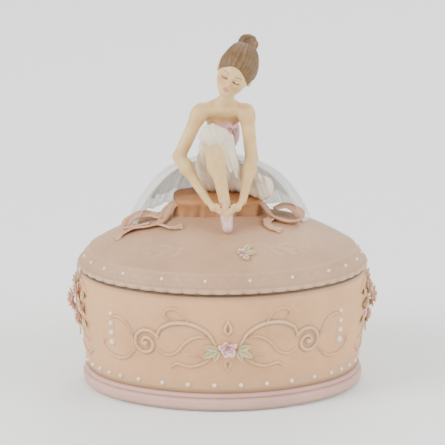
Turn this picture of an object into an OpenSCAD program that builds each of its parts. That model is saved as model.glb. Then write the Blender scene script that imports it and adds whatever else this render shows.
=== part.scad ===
// Ballerina jewellery box: an oval cast box with a hinged domed lid, a seated dancer on the lid,
// and a wind-up comb movement under the compartment floor.
// Millimetres, +Z up, origin on the table under the middle of the box, front towards -Y.

/* [Box] */
// Width of the lid rim, the widest part of the plain box
lid_w = 131; // [126:1:146]
// Depth of the lid rim, front to back
lid_d = 107; // [102:1:110]
// Height of the cast box wall, from the plinth to the lid joint
wall_h = 45.7; // [44:0.1:60]
// Height of the plinth under the cast wall, felt included
plinth_h = 8; // [7:0.5:12]
// Thickness of the felt ring that the box stands on
felt_t = 0.8; // [0.5:0.1:1.5]
// How far the foot of the wall is set in from the lid rim
foot_inset = 4.2; // [3.6:0.1:5]
// How far the top of the wall is set in from the lid rim
top_inset = 1.6; // [1:0.1:2.5]
// Wall thickness around the compartment, measured from the lid rim
wall_inset = 8; // [7.5:0.5:10]
// Wall thickness around the movement cavity, measured from the lid rim
cavity_inset = 11; // [10:0.5:12.5]
// Height of the compartment floor's upper face above the plinth
floor_z = 28; // [28:0.5:32]
// Thickness of the cast compartment floor
floor_t = 2.5; // [2:0.1:3]
// Thickness of the velvet pad
pad_t = 1.5; // [1:0.1:2]

/* [Lid] */
// Height of the lid rim's upright edge
rim_h = 4; // [3:0.5:6]
// Rise of the dome above the rim
dome_h = 19; // [14:1:24]
// Thickness of the dome
dome_t = 4; // [3:0.5:5]
// Depth of the locating lip under the lid
lip_h = 2.5; // [2:0.1:4]
// Width of the locating lip
lip_w = 2.6; // [2:0.1:3]
// Thickness of the mirror
mirror_t = 1.4; // [1:0.1:1.5]
// Count of scallops round the lid edge
scallops = 56; // [40:4:72]

/* [Hinge] */
// Length of the hinge along its pin
hinge_w = 26; // [20:1:32]
// Radius of the hinge pin
pin_r = 0.7; // [0.6:0.05:0.9]
// Outer radius of the knuckles
knuckle_r = 1.7; // [1.5:0.1:2]
// Thickness of each leaf
leaf_t = 0.7; // [0.5:0.1:0.8]
// Count of knuckles, both leaves together
knuckles = 5; // [3:2:7]

/* [Seat and dancer] */
// Width of the draped seat
seat_w = 40.5; // [39:0.5:42]
// Depth of the draped seat
seat_d = 27; // [26:0.5:28]
// Height of the seat above the top of the dome
seat_h = 8; // [7:0.5:9]
// Size of the dancer, as a share of the drawn figure
dancer_scale = 1; // [0.9:0.05:1.05]

/* [Movement] */
// Radius of the mainspring drum
drum_r = 12; // [11:0.5:12.5]
// Radius of the pinned cylinder
cylinder_r = 5; // [4.5:0.1:5.2]
// Length of the pinned cylinder
cylinder_l = 19; // [18.5:0.5:20]
// Count of comb teeth
comb_teeth = 18; // [12:1:18]
// Radius of the winding shaft
arbor_r = 2; // [1.5:0.1:2.2]
// Width of the winding key's wings
key_w = 20; // [16:1:26]

/* [Hidden] */

// Clearances
glue_gap = 0.1;
slip = 0.3;
run = 0.05;
lid_gap = 0.2;
far = 200;

// Oval: four arcs that meet on lines with a 3-4-5 slope, so every inset curve is smooth too
half_w = lid_w / 2;
half_d = lid_d / 2;
oval_step = half_w - half_d;
end_shift = 1.5 * oval_step;
side_shift = 2 * oval_step;
end_radius = half_w - end_shift;
side_radius = half_d + side_shift;

// Levels of the box
parting_z = plinth_h + wall_h;
floor_top = plinth_h + floor_z;
floor_bottom = floor_top - floor_t;
pad_top = floor_top + pad_t;
cover_t = 2;
cover_z = 2.5;
cover_inset = wall_inset + 0.2;
well_r = 22;
well_wall = 1.5;
well_top = 13.5;
lid_z = parting_z + lid_gap;
apex_z = lid_z + rim_h + dome_h;
seat_top = apex_z + seat_h;

// Pearls and flowers
pearl_r = 1.5;
rose_r = 4.2;
rose_z = 29.5;

// Hinge
hinge_y = half_d + knuckle_r + 0.3;
hinge_z = parting_z + lid_gap / 2;
leaf_front = half_d - wall_inset + 1;
leaf_screw_r = 0.8;
leaf_screw_l = 4;

// Movement levels and places, all from the winding shaft at the origin
bed_z = well_top + glue_gap;
bed_t = 1.4;
bed_top = bed_z + bed_t;
drum_h = 6.4;
crown_z = bed_top + drum_h + 0.4;
crown_n = 24;
crown_r = 9;
crown_pitch = 2 * PI * crown_r / crown_n;
pinion_n = 8;
pinion_m = crown_pitch / PI;
pinion_r = pinion_m * pinion_n / 2;
crown_plate = 1;
tooth_up = 1.4;
shaft_z = crown_z + crown_plate + 0.75 + pinion_r;
shaft_r = 0.9;
bracket_t = 1.2;
bracket_x = drum_r + 0.2;
cylinder_x = bracket_x + bracket_t + 0.5;
wheel_x = cylinder_x + cylinder_l + 0.4;
wheel_t = 1.3;
wheel_n = 30;
wheel_m = 0.38;
wheel_r = wheel_m * wheel_n / 2;
end_x = wheel_x + wheel_t + 0.8;
governor_n = 8;
governor_r = wheel_m * governor_n / 2;
governor_angle = -20;
governor_y = (wheel_r + governor_r) * cos(governor_angle);
governor_z = shaft_z + (wheel_r + governor_r) * sin(governor_angle);
governor_shaft_r = 0.6;
worm_wheel_n = 20;
worm_m = 0.4;
worm_wheel_r = worm_m * worm_wheel_n / 2;
worm_pitch = PI * worm_m;
worm_r = 1.2;
worm_wheel_x = end_x + bracket_t + 1.2;
worm_wheel_t = 1.2;
worm_x = worm_wheel_x + worm_wheel_t / 2;
worm_y = governor_y + worm_wheel_r + worm_r + 0.05;
worm_turns = 4;
frame_x = worm_wheel_x + worm_wheel_t + 1;
post_x = worm_x + 5;
fly_z = shaft_z + 1.9;
fly_h = 2.6;
fly_w = 3.4;
bridge_z = fly_z + fly_h + 0.5;
bed_x0 = -drum_r - 2;
bed_x1 = post_x + bracket_t + 1;
bed_y = 20;

// Comb
pin_h = 0.5;
comb_tip = cylinder_r + pin_h + 0.2;
comb_reach = 8;
comb_plate = 6;
comb_t = 1.2;
tooth_pitch = (cylinder_l - 1) / comb_teeth;
tooth_w = 0.72 * tooth_pitch;

// Stop rod, in the back right corner of the compartment. Its flange clears the cavity wall.
rod_angle = 40;
flange_r = 1.4;
rod_inset = cavity_inset + flange_r + slip;
rod_x = end_shift + (end_radius - rod_inset) * cos(rod_angle);
rod_y = (end_radius - rod_inset) * sin(rod_angle);
rod_r = 0.75;
guide_r = 1.6;
guide_h = 9;
rod_top = lid_z - lip_h - run;
rod_rise = 3;
arm_t = 0.6;
arm_z = floor_bottom - rod_rise - arm_t - 0.95;

// Sets a flat profile round the oval. Its x is the distance outwards from the lid rim.
module oval_turn() {
    for (side = [0, 180]) {
        rotate([0, 0, side]) intersection() {
            translate([end_shift, 0, 0]) rotate_extrude($fn = 96) intersection() {
                translate([end_radius, 0]) children();
                translate([0, -far]) square([far, 2 * far]);
            }
            translate([0, 0, -far]) linear_extrude(2 * far)
                polygon([
                    [end_shift, 0],
                    [end_shift + 0.6 * far, -0.8 * far],
                    [end_shift + 0.6 * far, 0.8 * far]
                ]);
        }
        rotate([0, 0, side]) intersection() {
            translate([0, -side_shift, 0]) rotate_extrude($fn = 96) translate([side_radius, 0]) children();
            translate([0, 0, -far]) linear_extrude(2 * far)
                polygon([[end_shift, 0], [end_shift + 0.6 * far, 0.8 * far],
                    [-end_shift - 0.6 * far, 0.8 * far], [-end_shift, 0]]);
        }
    }
}

// An oval ring or, with no inner inset, an oval plate
module oval_ring(outer, inner, z0, z1)
    oval_turn()
        polygon([[-outer, z0], [-inner, z0], [-inner, z1], [-outer, z1]]);
module oval_plate(outer, z0, z1) oval_ring(outer, half_d, z0, z1);

// Where the oval curve of one inset crosses a given turn parameter, and which way it faces there.
// The parameter runs 0 to 360 round the box; the end arcs hold 106.26 degrees each.
end_half = 53.1301;
function oval_centre(a) =
    let (t = (a + 360) % 360)
    t <= end_half || t >= 360 - end_half ? [end_shift, 0, end_radius] :
    abs(t - 180) <= end_half ? [-end_shift, 0, end_radius] :
    t < 180 ? [0, -side_shift, side_radius] : [0, side_shift, side_radius];
function oval_point(a, inset) =
    let (c = oval_centre(a))
    [c[0] + (c[2] - inset) * cos(a), c[1] + (c[2] - inset) * sin(a)];

// Wall outline: inset from the lid rim at share t of the wall's height
function wall_inset_at(t) = foot_inset * pow(1 - t, 1.6) + top_inset * pow(t, 6);
// Dome: height over the parting plane at an inset from the rim
function dome_z(inset) = rim_h + dome_h * pow(sin(90 * min(1, inset / end_radius)), 0.9);
dome_steps = [0, 0.021, 0.053, 0.095, 0.147, 0.21, 0.295, 0.39, 0.495, 0.61, 0.737, 0.863] * end_radius;

// Puts a child on the wall, facing outwards, at turn parameter a and height z
module on_wall(a, z) {
    t = (z - plinth_h) / wall_h;
    lean = atan((wall_inset_at(t - 0.02) - wall_inset_at(t + 0.02)) / (0.04 * wall_h));
    p = oval_point(a, wall_inset_at(t) - glue_gap);
    translate([p[0], p[1], z]) rotate([0, 90 + lean, a]) children();
}

// Puts a child on the dome, facing up
module on_dome(a, inset) {
    p = oval_point(a, inset);
    slope = atan(dome_z(inset + 0.5) - dome_z(inset - 0.5));
    translate([p[0], p[1], lid_z + dome_z(inset) + glue_gap]) rotate([0, slope, a]) children();
}

// ---------- plinth and box ----------

module plinth() color("rosybrown") difference() {
    oval_turn() polygon([
        [-wall_inset, felt_t], [-3.4, felt_t], [-2.4, felt_t + 0.9], [-2.1, felt_t + 2],
        [-2.1, plinth_h - 3.2],
        [-2.5, plinth_h - 2.4], [-3.1, plinth_h - 2], [-3.2, plinth_h - 0.8], [-3.6, plinth_h],
        [-cavity_inset - 0.5, plinth_h], [-cavity_inset - 0.5, cover_z + cover_t + glue_gap],
        [-wall_inset, cover_z + cover_t + glue_gap]
    ]);
    cover_holes(0.7, cover_z, 5);
}

module felt_ring() color("thistle") oval_ring(4, 7.5, 0, felt_t);

module cover_holes(r, z0, h)
    for (a = [45, 135, 225, 315]) {
        p = oval_point(a, wall_inset + 1.9);
        translate([p[0], p[1], z0]) cylinder(r = r, h = h, $fn = 32);
    }

module bottom_cover() color("dimgray") difference() {
    union() {
        difference() {
            oval_plate(cover_inset, cover_z, cover_z + cover_t);
            translate([0, 0, cover_z - 1]) cylinder(r = well_r, h = cover_t + 2, $fn = 96);
        }
        difference() {
            translate([0, 0, cover_z]) cylinder(r = well_r + well_wall, h = well_top - cover_z, $fn = 96);
            translate([0, 0, cover_z - 1])
                cylinder(r = well_r, h = well_top - well_wall - cover_z + 1, $fn = 96);
        }
    }
    translate([0, 0, cover_z]) cylinder(r = arbor_r + 1.5, h = well_top, $fn = 48);
    bed_holes(0.9, cover_z, well_top);
    cover_holes(0.95, cover_z - 1, cover_t + 2);
}

module cover_screws() color("silver") {
    cover_holes(1.7, cover_z - 0.9, 0.85);
    cover_holes(0.65, cover_z - 0.05, 4.6);
}

module body_shell() color("bisque") difference() {
    oval_turn() polygon(concat(
        [for (i = [0:12]) [-wall_inset_at(i / 12), plinth_h + wall_h * i / 12]],
        [[-wall_inset, parting_z], [-wall_inset, floor_top], [-half_d, floor_top], [-half_d, floor_bottom],
            [-cavity_inset, floor_bottom], [-cavity_inset, plinth_h]]
    ));
    // rebate for the hinge leaf and its knuckles
    translate([-hinge_w / 2 - slip, leaf_front - slip, parting_z - leaf_t - 0.1])
        cube([hinge_w + 2 * slip, 20, 10]);
    translate([0, hinge_y, hinge_z]) rotate([0, 90, 0])
        cylinder(r = knuckle_r + slip, h = hinge_w + 2 * slip, center = true, $fn = 48);
    leaf_screw_holes(leaf_screw_r - 0.1, parting_z - leaf_screw_l - 1, leaf_screw_l + 1);
    translate([rod_x, rod_y, floor_bottom - 1]) cylinder(r = guide_r + run, h = floor_t + 2, $fn = 48);
}

module velvet_pad() color("pink") difference() {
    oval_plate(wall_inset + slip, floor_top, pad_top);
    translate([rod_x, rod_y, floor_top - 1]) cylinder(r = guide_r + slip, h = pad_t + 2, $fn = 48);
}

// ---------- ornaments ----------

// A rose with its back on z = 0, petals as overlapping shells
module rose(r, h) {
    cylinder(r1 = r * 0.8, r2 = r * 0.5, h = h * 0.75, $fn = 32);
    translate([0, 0, h * 0.5]) sphere(r = h * 0.5, $fn = 32);
    intersection() {
        for (i = [0:4])
            rotate([0, 0, 72 * i]) translate([r * 0.55, 0, h * 0.32]) sphere(r = r * 0.45, $fn = 24);
        cylinder(r = 2 * r, h = h, $fn = 24);
    }
}

// A pointed leaf with its back on z = 0
module leaf(l, w, h) {
    arc_r = (l * l / 4 + w * w / 4) / w;
    linear_extrude(h) intersection() {
        translate([l / 2, arc_r - w / 2]) circle(r = arc_r, $fn = 64);
        translate([l / 2, w / 2 - arc_r]) circle(r = arc_r, $fn = 64);
    }
}

module half_pearl(r) rotate_extrude($fn = 32) intersection() {
    circle(r = r, $fn = 32);
    square([r, r]);
}

module front_rose() color("pink") on_wall(270, rose_z) rose(rose_r, 5);
module front_leaves() color("darkseagreen")
    for (i = [-1, 1]) on_wall(270 + i * 3.9, rose_z - 1.5) {
        rotate([0, 0, i * 65]) leaf(8, 3.4, 0.9);
        rotate([0, 0, i * 20]) translate([1.5, 0, 0]) leaf(6.5, 2.8, 0.9);
    }

bouquet_z = plinth_h + 0.7 * wall_h;
module end_bouquets() color("mistyrose") for (a = [0, 180]) {
    on_wall(a, bouquet_z) rose(5.4, 5.2);
    for (i = [-1, 1]) {
        on_wall(a + 10 * i, bouquet_z + 6) rose(2.7, 3.4);
        on_wall(a + 10 * i, bouquet_z - 6) rose(2.7, 3);
    }
}

pearl_turn = 44;
module body_pearls() color("linen")
    for (side = [90, 270], turn = [-pearl_turn, pearl_turn], i = [0:3])
        on_wall(side + turn, rose_z - 2 + 4.4 * i) half_pearl(pearl_r - 0.15 * i);

foot_pearl_n = 40;
module foot_pearls() color("linen") for (i = [0:foot_pearl_n - 1])
    on_wall((i + 0.5) * 360 / foot_pearl_n, plinth_h + 4) half_pearl(1);

// ---------- lid ----------

module lid_profile() polygon(concat(
    [[-wall_inset - 0.4, 0], [-0.8, 0], [0, 0.8], [0, rim_h - 1]],
    [for (s = dome_steps) [-0.6 - s * (end_radius - 0.6) / end_radius, dome_z(s)]],
    [[-end_radius, rim_h + dome_h], [-half_d, rim_h + dome_h], [-half_d, rim_h + dome_h - dome_t],
        [-end_radius, rim_h + dome_h - dome_t]],
    [for (i = [len(dome_steps) - 1:-1:6]) [-0.6 - dome_steps[i], dome_z(dome_steps[i]) - dome_t]],
    [[-wall_inset - 0.4 - lip_w - 1, dome_z(wall_inset + lip_w) - dome_t - 0.5],
        [-wall_inset - 0.4 - lip_w - 1, mirror_t + 0.1], [-wall_inset - 0.4 - lip_w, mirror_t + 0.1],
        [-wall_inset - 0.4 - lip_w, -lip_h], [-wall_inset - 0.4, -lip_h]]
));

module lid_shell() color("antiquewhite") difference() {
    translate([0, 0, lid_z]) oval_turn() lid_profile();
    // flutes that leave scallops round the rim
    for (i = [0:scallops - 1]) {
        p = oval_point(i * 360 / scallops, -0.55);
        translate([p[0], p[1], lid_z - 1]) cylinder(r = 1.1, h = rim_h, $fn = 24);
    }
    translate([-hinge_w / 2 - slip, leaf_front - slip, lid_z - 10])
        cube([hinge_w + 2 * slip, 20, 10 + leaf_t + 0.1]);
    translate([0, hinge_y, hinge_z]) rotate([0, 90, 0])
        cylinder(r = knuckle_r + slip, h = hinge_w + 2 * slip, center = true, $fn = 48);
    leaf_screw_holes(leaf_screw_r - 0.1, lid_z, 3.2);
}

module lid_mirror() color("lightsteelblue")
    oval_plate(wall_inset + 0.4 + lip_w + glue_gap, lid_z, lid_z + mirror_t);

module mirror_bezel() color("gold") oval_ring(
    wall_inset + 0.4 + lip_w + glue_gap, wall_inset + lip_w + 3.6, lid_z - 1.3, lid_z - 0.02);

module lid_pearls() color("linen") for (i = [0:23]) {
    a = (i + 0.5) * 15;
    if (abs(a - 90) > 20) on_dome(a, 3.2) half_pearl(1.1);
}

lid_rose_x = 6.7;
lid_rose_y = -37;
module at_lid_rose() {
    inset = half_d + lid_rose_y;
    slope = atan(dome_z(inset + 0.5) - dome_z(inset - 0.5));
    translate([lid_rose_x, lid_rose_y, lid_z + dome_z(inset) + 2.5 * glue_gap])
        rotate([slope, 0, 0])
            children();
}
module lid_rose() color("pink") at_lid_rose() rose(2.3, 2.8);
module lid_leaves() color("darkseagreen") at_lid_rose()
    for (a = [-70, 10]) rotate([0, 0, a]) translate([2.4, 0, 0]) leaf(5, 2.2, 0.8);

// ---------- hinge ----------

knuckle_l = hinge_w / knuckles;

module leaf_screw_holes(r, z, h)
    for (x = [-hinge_w / 2 + 4, hinge_w / 2 - 4])
        translate([x, leaf_front + 2.6, z]) cylinder(r = r, h = h, $fn = 24);

module hinge_leaf(first, z) difference() {
    union() {
        translate([-hinge_w / 2, leaf_front, z])
            cube([hinge_w, hinge_y - leaf_front - knuckle_r - 0.35, leaf_t]);
        for (i = [first:2:knuckles - 1]) {
            x = -hinge_w / 2 + i * knuckle_l + 2 * run;
            translate([x, hinge_y, hinge_z])
                rotate([0, 90, 0])
                    cylinder(r = knuckle_r, h = knuckle_l - 4 * run, $fn = 48);
            translate([x, hinge_y - knuckle_r - 0.6, z]) cube([knuckle_l - 4 * run, knuckle_r, leaf_t]);
        }
    }
    translate([0, hinge_y, hinge_z])
        rotate([0, 90, 0])
            cylinder(r = pin_r + run, h = hinge_w + 2, center = true, $fn = 32);
    leaf_screw_holes(leaf_screw_r + 0.1, z - 1, leaf_t + 2);
}

module hinge_leaf_box() color("goldenrod") hinge_leaf(0, parting_z - leaf_t - 0.05);
module hinge_leaf_lid() color("goldenrod") hinge_leaf(1, lid_z + 0.05);
module hinge_pin() color("silver") translate([0, hinge_y, hinge_z]) rotate([0, 90, 0])
    cylinder(r = pin_r, h = hinge_w, center = true, $fn = 32);
module hinge_screws_box() color("silver")
    leaf_screw_holes(leaf_screw_r - 0.15, parting_z - leaf_screw_l, leaf_screw_l - 0.06);
module hinge_screws_lid() color("silver") leaf_screw_holes(leaf_screw_r - 0.15, lid_z + 0.06, 3);

// ---------- seat and dancer ----------

seat_x = -1.7;
seat_y = 6.5;
module lid_solid() translate([0, 0, lid_z]) oval_turn() lid_profile();
seat_round = 5;
seat_edge = 3;
module seat_form() hull() for (x = [-1, 1], y = [-1, 1])
    translate([seat_x + x * (seat_w / 2 - seat_round), seat_y + y * (seat_d / 2 - seat_round), 0]) {
        translate([0, 0, apex_z - 1]) cylinder(r = seat_round, h = 1, $fn = 32);
        translate([0, 0, seat_top - seat_edge]) sphere(r = seat_edge, $fn = 20);
    }
module seat() color("rosybrown") difference() {
    seat_form();
    lid_solid();
}

// A band of ribbon as a chain of flat links through a list of points
module band(points, w, t) for (i = [0:len(points) - 2]) hull() for (p = [points[i], points[i + 1]])
    translate(p) cube([t, w, t], center = true);
function over_dome(x, y, up) = [x, y, up + lid_z + dome_z(abs(x) > end_shift
    ? end_radius - norm([abs(x) - end_shift, y]) : side_radius - norm([x, abs(y) + side_shift]))];

module sash(points) difference() {
    band(points, 5, 0.9);
    seat_form();
    lid_solid();
}
module sash_left() color("rosybrown") sash([
    [-20, 0, seat_top - 1], [-23, -2, seat_top - 3], over_dome(-25, -5, 3), over_dome(-27.5, -11, 1.1),
    over_dome(-34, -12, 1.1), over_dome(-41, -9, 1.3), over_dome(-48, -9, 1)
]);
module sash_right() color("rosybrown") sash([
    [16, 0, seat_top - 1], [19.6, -3, seat_top - 4], over_dome(21.5, -10, 1.4), over_dome(27, -12, 1.1),
    over_dome(32, -11, 1.3), over_dome(34, -6, 3.4), over_dome(27, -3, 5.4), over_dome(22.5, -4, 4)
]);

// The figure's joints, from the middle of the box at the height of the seat's top
hip_z = 6;
joint_points = [
    ["hip_r", [-6, 10, hip_z + 0.5]], ["hip_l", [6, 11, hip_z]],
    ["waist", [-1, 7, 18]], ["chest", [0.2, 1.6, 30]],
    ["neck", [0.6, -2.8, 43.4]], ["nape", [3.4, -5.4, 53]],
    ["skull", [6, -8.2, 59.4]], ["crown", [8.6, -4.6, 63.2]],
    ["bun", [11.2, -2, 69.4]], ["chin", [1.6, -13.2, 52.4]], ["shoulder_r", [-9.9, -2.4, 39.6]],
    ["shoulder_l", [10.6, -2.4, 39.2]], ["elbow_r", [-19.6, -9.4, 20.4]], ["elbow_l", [12.4, -11, 19.6]],
    ["wrist_r", [-7.4, -19.6, 2.6]], ["wrist_l", [8, -20, 2.6]], ["hand_r", [-2.8, -22.8, -2.2]],
    ["hand_l", [4.6, -22.9, -2.2]], ["knee_r", [-5.4, -17, 33]], ["ankle_r", [0.7, -21.4, -1.6]],
    ["toe_r", [1.1, -24.4, -8.6]], ["knee_l", [18, -7, 4.4]],
    ["ankle_l", [13.5, 16, 3.6]], ["toe_l", [6, 21.5, 2.4]]
];
function joint_at(name) = joint_points[search([name], joint_points)[0]][1];

module ball(name, r, shift = [0, 0, 0]) translate(joint_at(name) + shift) sphere(r = r, $fn = 16);
module limb(a, ra, b, rb) hull() {
    ball(a, ra);
    ball(b, rb);
}
module on_seat() translate([0, 0, seat_top]) scale(dancer_scale) children();

module torso() {
    hull() {
        ball("hip_r", 6);
        ball("hip_l", 6);
        ball("waist", 5.4);
    }
    hull() {
        ball("waist", 5.4);
        for (x = [-4.2, 4.2]) ball("chest", 4.8, [x, 0, 0]);
    }
    hull() {
        for (x = [-4.2, 4.2]) ball("chest", 4.8, [x, 0, 0]);
        ball("shoulder_r", 3);
        ball("shoulder_l", 3);
    }
}
module above_neckline() translate([-40, -40, 35.5]) rotate([8, 0, 0]) cube([80, 80, 60]);
module arms() {
    limb("shoulder_r", 3.4, "elbow_r", 2.7);
    limb("elbow_r", 2.7, "wrist_r", 1.9);
    limb("wrist_r", 1.9, "hand_r", 2);
    limb("shoulder_l", 3.4, "elbow_l", 2.7);
    limb("elbow_l", 2.7, "wrist_l", 1.9);
    limb("wrist_l", 1.9, "hand_l", 2);
}
module hair_form() {
    hull() {
        ball("skull", 8.7, [0.5, 1.6, 0.6]);
        ball("crown", 7.2);
    }
    ball("bun", 4.3);
}
module head_form() hull() {
    ball("skull", 8.1, [-0.3, -1.3, -0.4]);
    ball("chin", 2.9);
}
module face_opening() hull() {
    ball("skull", 5.6, [-1.2, -8.2, -1.4]);
    ball("chin", 6, [0.4, 1, -1.6]);
}
module thigh_drape() limb("hip_r", 6.2, "knee_r", 5);
module slipper_right() limb("ankle_r", 2.5, "toe_r", 1.8);
module slipper_left() limb("ankle_l", 2.9, "toe_l", 2.2);

module ballerina_body() color("navajowhite") on_seat() difference() {
    union() {
        intersection() {
            torso();
            above_neckline();
        }
        head_form();
        limb("neck", 3.4, "nape", 3.2);
        arms();
        limb("knee_r", 4.4, "ankle_r", 2.2);
        limb("hip_l", 5.4, "knee_l", 4.6);
        limb("knee_l", 4.6, "ankle_l", 2.6);
    }
    difference() {
        hair_form();
        face_opening();
    }
    difference() {
        torso();
        above_neckline();
    }
    thigh_drape();
    slipper_right();
    slipper_left();
    below_seat();
}
module below_seat() translate([-60, -8, -30]) cube([120, 60, 30]);
module ballerina_hair() color("saddlebrown") on_seat() difference() {
    hair_form();
    face_opening();
}
module ballerina_bodice() color("lavenderblush") on_seat() difference() {
    union() {
        difference() {
            torso();
            above_neckline();
        }
        thigh_drape();
    }
    arms();
    below_seat();
}
module ballerina_slippers() color("lightpink") difference() {
    on_seat() slippers();
    lid_solid();
}
module slippers() {
    difference() {
        slipper_right();
        limb("wrist_r", 1.9, "hand_r", 2);
        limb("wrist_l", 1.9, "hand_l", 2);
    }
    difference() {
        slipper_left();
        below_seat();
    }
}

// Tulle: a sheet of rows from the waist out to a drooping hem, open at the front
skirt_steps = 24;
skirt_rows = 5;
skirt_t = 0.8;
skirt_from = -22;
skirt_to = 186;
function skirt_point(i, j, up) =
    let (a = skirt_from + (skirt_to - skirt_from) * i / skirt_steps, s = j / skirt_rows,
        reach_x = 8 + 33 * s, reach_y = 8 + 24 * s, fold = 0.9 * s * sin(9 * (a - skirt_from)),
        drop = 6 * s + 21 * s * s * s)
    [-1 + reach_x * cos(a), 6 + reach_y * sin(a), 18 - drop + fold + up];
module tulle_skirt() color("white") difference() {
    on_seat() skirt_sheet();
    lid_solid();
}
module skirt_sheet() {
    row = skirt_rows + 1;
    count = (skirt_steps + 1) * row;
    points = concat(
        [for (i = [0:skirt_steps], j = [0:skirt_rows]) skirt_point(i, j, skirt_t / 2)],
        [for (i = [0:skirt_steps], j = [0:skirt_rows]) skirt_point(i, j, -skirt_t / 2)]);
    top = [for (i = [0:skirt_steps - 1], j = [0:skirt_rows - 1])
        let (a = i * row + j, b = a + row) each [[a, a + 1, b], [a + 1, b + 1, b]]];
    bottom = [for (f = top) [f[2] + count, f[1] + count, f[0] + count]];
    rim = concat(
        [for (j = [0:skirt_rows - 1]) [j, j + 1]],
        [for (i = [0:skirt_steps - 1]) [i * row + skirt_rows, (i + 1) * row + skirt_rows]],
        [for (j = [skirt_rows:-1:1]) [skirt_steps * row + j, skirt_steps * row + j - 1]],
        [for (i = [skirt_steps:-1:1]) [i * row, (i - 1) * row]]);
    edge = [for (e = rim) each [[e[1], e[0], e[0] + count], [e[1], e[0] + count, e[1] + count]]];
    polyhedron(points = points, faces = concat(top, bottom, edge), convexity = 6);
}

// ---------- movement ----------

module bed_holes(r, z, h)
    for (p = [[-7, 14], [-7, -14], [13.5, -12]])
        translate([p[0], p[1], z]) cylinder(r = r, h = h, $fn = 32);

module bedplate() color("silver") difference() {
    translate([bed_x0, -bed_y, bed_z]) cube([bed_x1 - bed_x0, 2 * bed_y, bed_t]);
    translate([0, 0, bed_z - 1]) cylinder(r = arbor_r + run, h = bed_t + 2, $fn = 48);
    bed_holes(0.75, bed_z - 1, bed_t + 2);
    translate([worm_x, worm_y, bed_z - 1]) cylinder(r = 0.45, h = bed_t + 2, $fn = 24);
}

module movement_screws() color("silver") {
    bed_holes(1.6, well_top - well_wall - 1, 0.95);
    bed_holes(0.7, well_top - well_wall - 0.1, well_wall + bed_t);
}

module spring_drum() color("silver") difference() {
    translate([0, 0, bed_top]) cylinder(r = drum_r, h = drum_h, $fn = 96);
    translate([0, 0, bed_top + 0.8]) cylinder(r = drum_r - 1, h = drum_h - 1.6, $fn = 96);
    translate([0, 0, bed_top - 1]) cylinder(r = arbor_r + run, h = drum_h + 2, $fn = 48);
}

spring_turns = 6;
module mainspring() color("slategray") {
    steps = 20 * spring_turns;
    r0 = arbor_r + 0.4;
    r1 = drum_r - 1.3;
    translate([0, 0, bed_top + 1.2]) linear_extrude(drum_h - 2.4) polygon(concat(
        [for (i = [0:steps]) (r0 + (r1 - r0) * i / steps) * [cos(18 * i), sin(18 * i)]],
        [for (i = [steps:-1:0]) (r0 + 0.35 + (r1 - r0) * i / steps) * [cos(18 * i), sin(18 * i)]]));
}

arbor_z = bed_z - 9.1;
module winding_arbor() color("silver") translate([0, 0, arbor_z])
    cylinder(r = arbor_r, h = crown_z + crown_plate + 0.2 - arbor_z, $fn = 48);

module crown_wheel() color("goldenrod") {
    difference() {
        translate([0, 0, crown_z]) cylinder(r = crown_r + 1, h = crown_plate, $fn = 96);
        translate([0, 0, crown_z - 1]) cylinder(r = arbor_r, h = crown_plate + 2, $fn = 48);
    }
    for (i = [0:crown_n - 1]) rotate([0, 0, (i + 0.5) * 360 / crown_n])
        translate([crown_r, 0, crown_z + crown_plate]) rotate([90, 0, 90]) linear_extrude(2, center = true)
            polygon([[-0.62, -0.1], [0.62, -0.1], [0.25, tooth_up], [-0.25, tooth_up]]);
}

key_z = 3.4;
key_t = 1.4;
wing_r = 3.2;
hub_r = arbor_r + 1.2;
module key_disc(x, z, r)
    translate([x, 0, z])
        rotate([90, 0, 0])
            cylinder(r = r, h = key_t, center = true, $fn = 32);
module winding_key() color("silver") difference() {
    union() {
        translate([0, 0, key_z]) cylinder(r = hub_r, h = 8, $fn = 48);
        for (s = [-1, 1]) hull() {
            key_disc(s * hub_r, key_z + 1.2, 1.2);
            key_disc(s * hub_r, key_z + 5.6, 1.2);
            key_disc(s * (key_w / 2 - wing_r), key_z + wing_r, wing_r);
        }
    }
    translate([0, 0, arbor_z]) cylinder(r = arbor_r, h = 20, $fn = 48);
}

// A flat gear: straight-sided teeth, widths at the root and at the tip
module gear(n, m, root_w, tip_w, turn) {
    tip = m * n / 2 + 0.8 * m;
    root = m * n / 2 - 1.1 * m;
    circle(r = root, $fn = 64);
    for (i = [0:n - 1]) rotate(turn + i * 360 / n)
        polygon([[root * 0.7, -root_w / 2], [root, -root_w / 2], [tip, -tip_w / 2],
            [tip, tip_w / 2], [root, root_w / 2], [root * 0.7, root_w / 2]]);
}
// Stands a flat shape up across the X axis: its x is the box's y, its y is the box's z
module across(x, y, z, t) translate([x, y, z]) rotate([90, 0, 90]) linear_extrude(t) children();

module bearing_plate(x, y0, y1, z1) translate([x, y0, bed_top]) cube([bracket_t, y1 - y0, z1 - bed_top]);
module shaft_bore(x, y, z, r)
    translate([x - 1, y, z])
        rotate([0, 90, 0])
            cylinder(r = r, h = bracket_t + 2, $fn = 32);

module cylinder_bracket() color("silver") difference() {
    bearing_plate(bracket_x, -4, 4, shaft_z + 2.6);
    shaft_bore(bracket_x, 0, shaft_z, shaft_r + run);
}
module end_bracket() color("silver") difference() {
    bearing_plate(end_x, -4, worm_y + 3, shaft_z + 1);
    shaft_bore(end_x, 0, shaft_z, shaft_r + run);
    shaft_bore(end_x, governor_y, governor_z, governor_shaft_r + run);
}
module cylinder_shaft() color("silver") translate([crown_r - 1.4, 0, shaft_z]) rotate([0, 90, 0])
    cylinder(r = shaft_r, h = end_x + bracket_t - crown_r + 1.4, $fn = 32);

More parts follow.
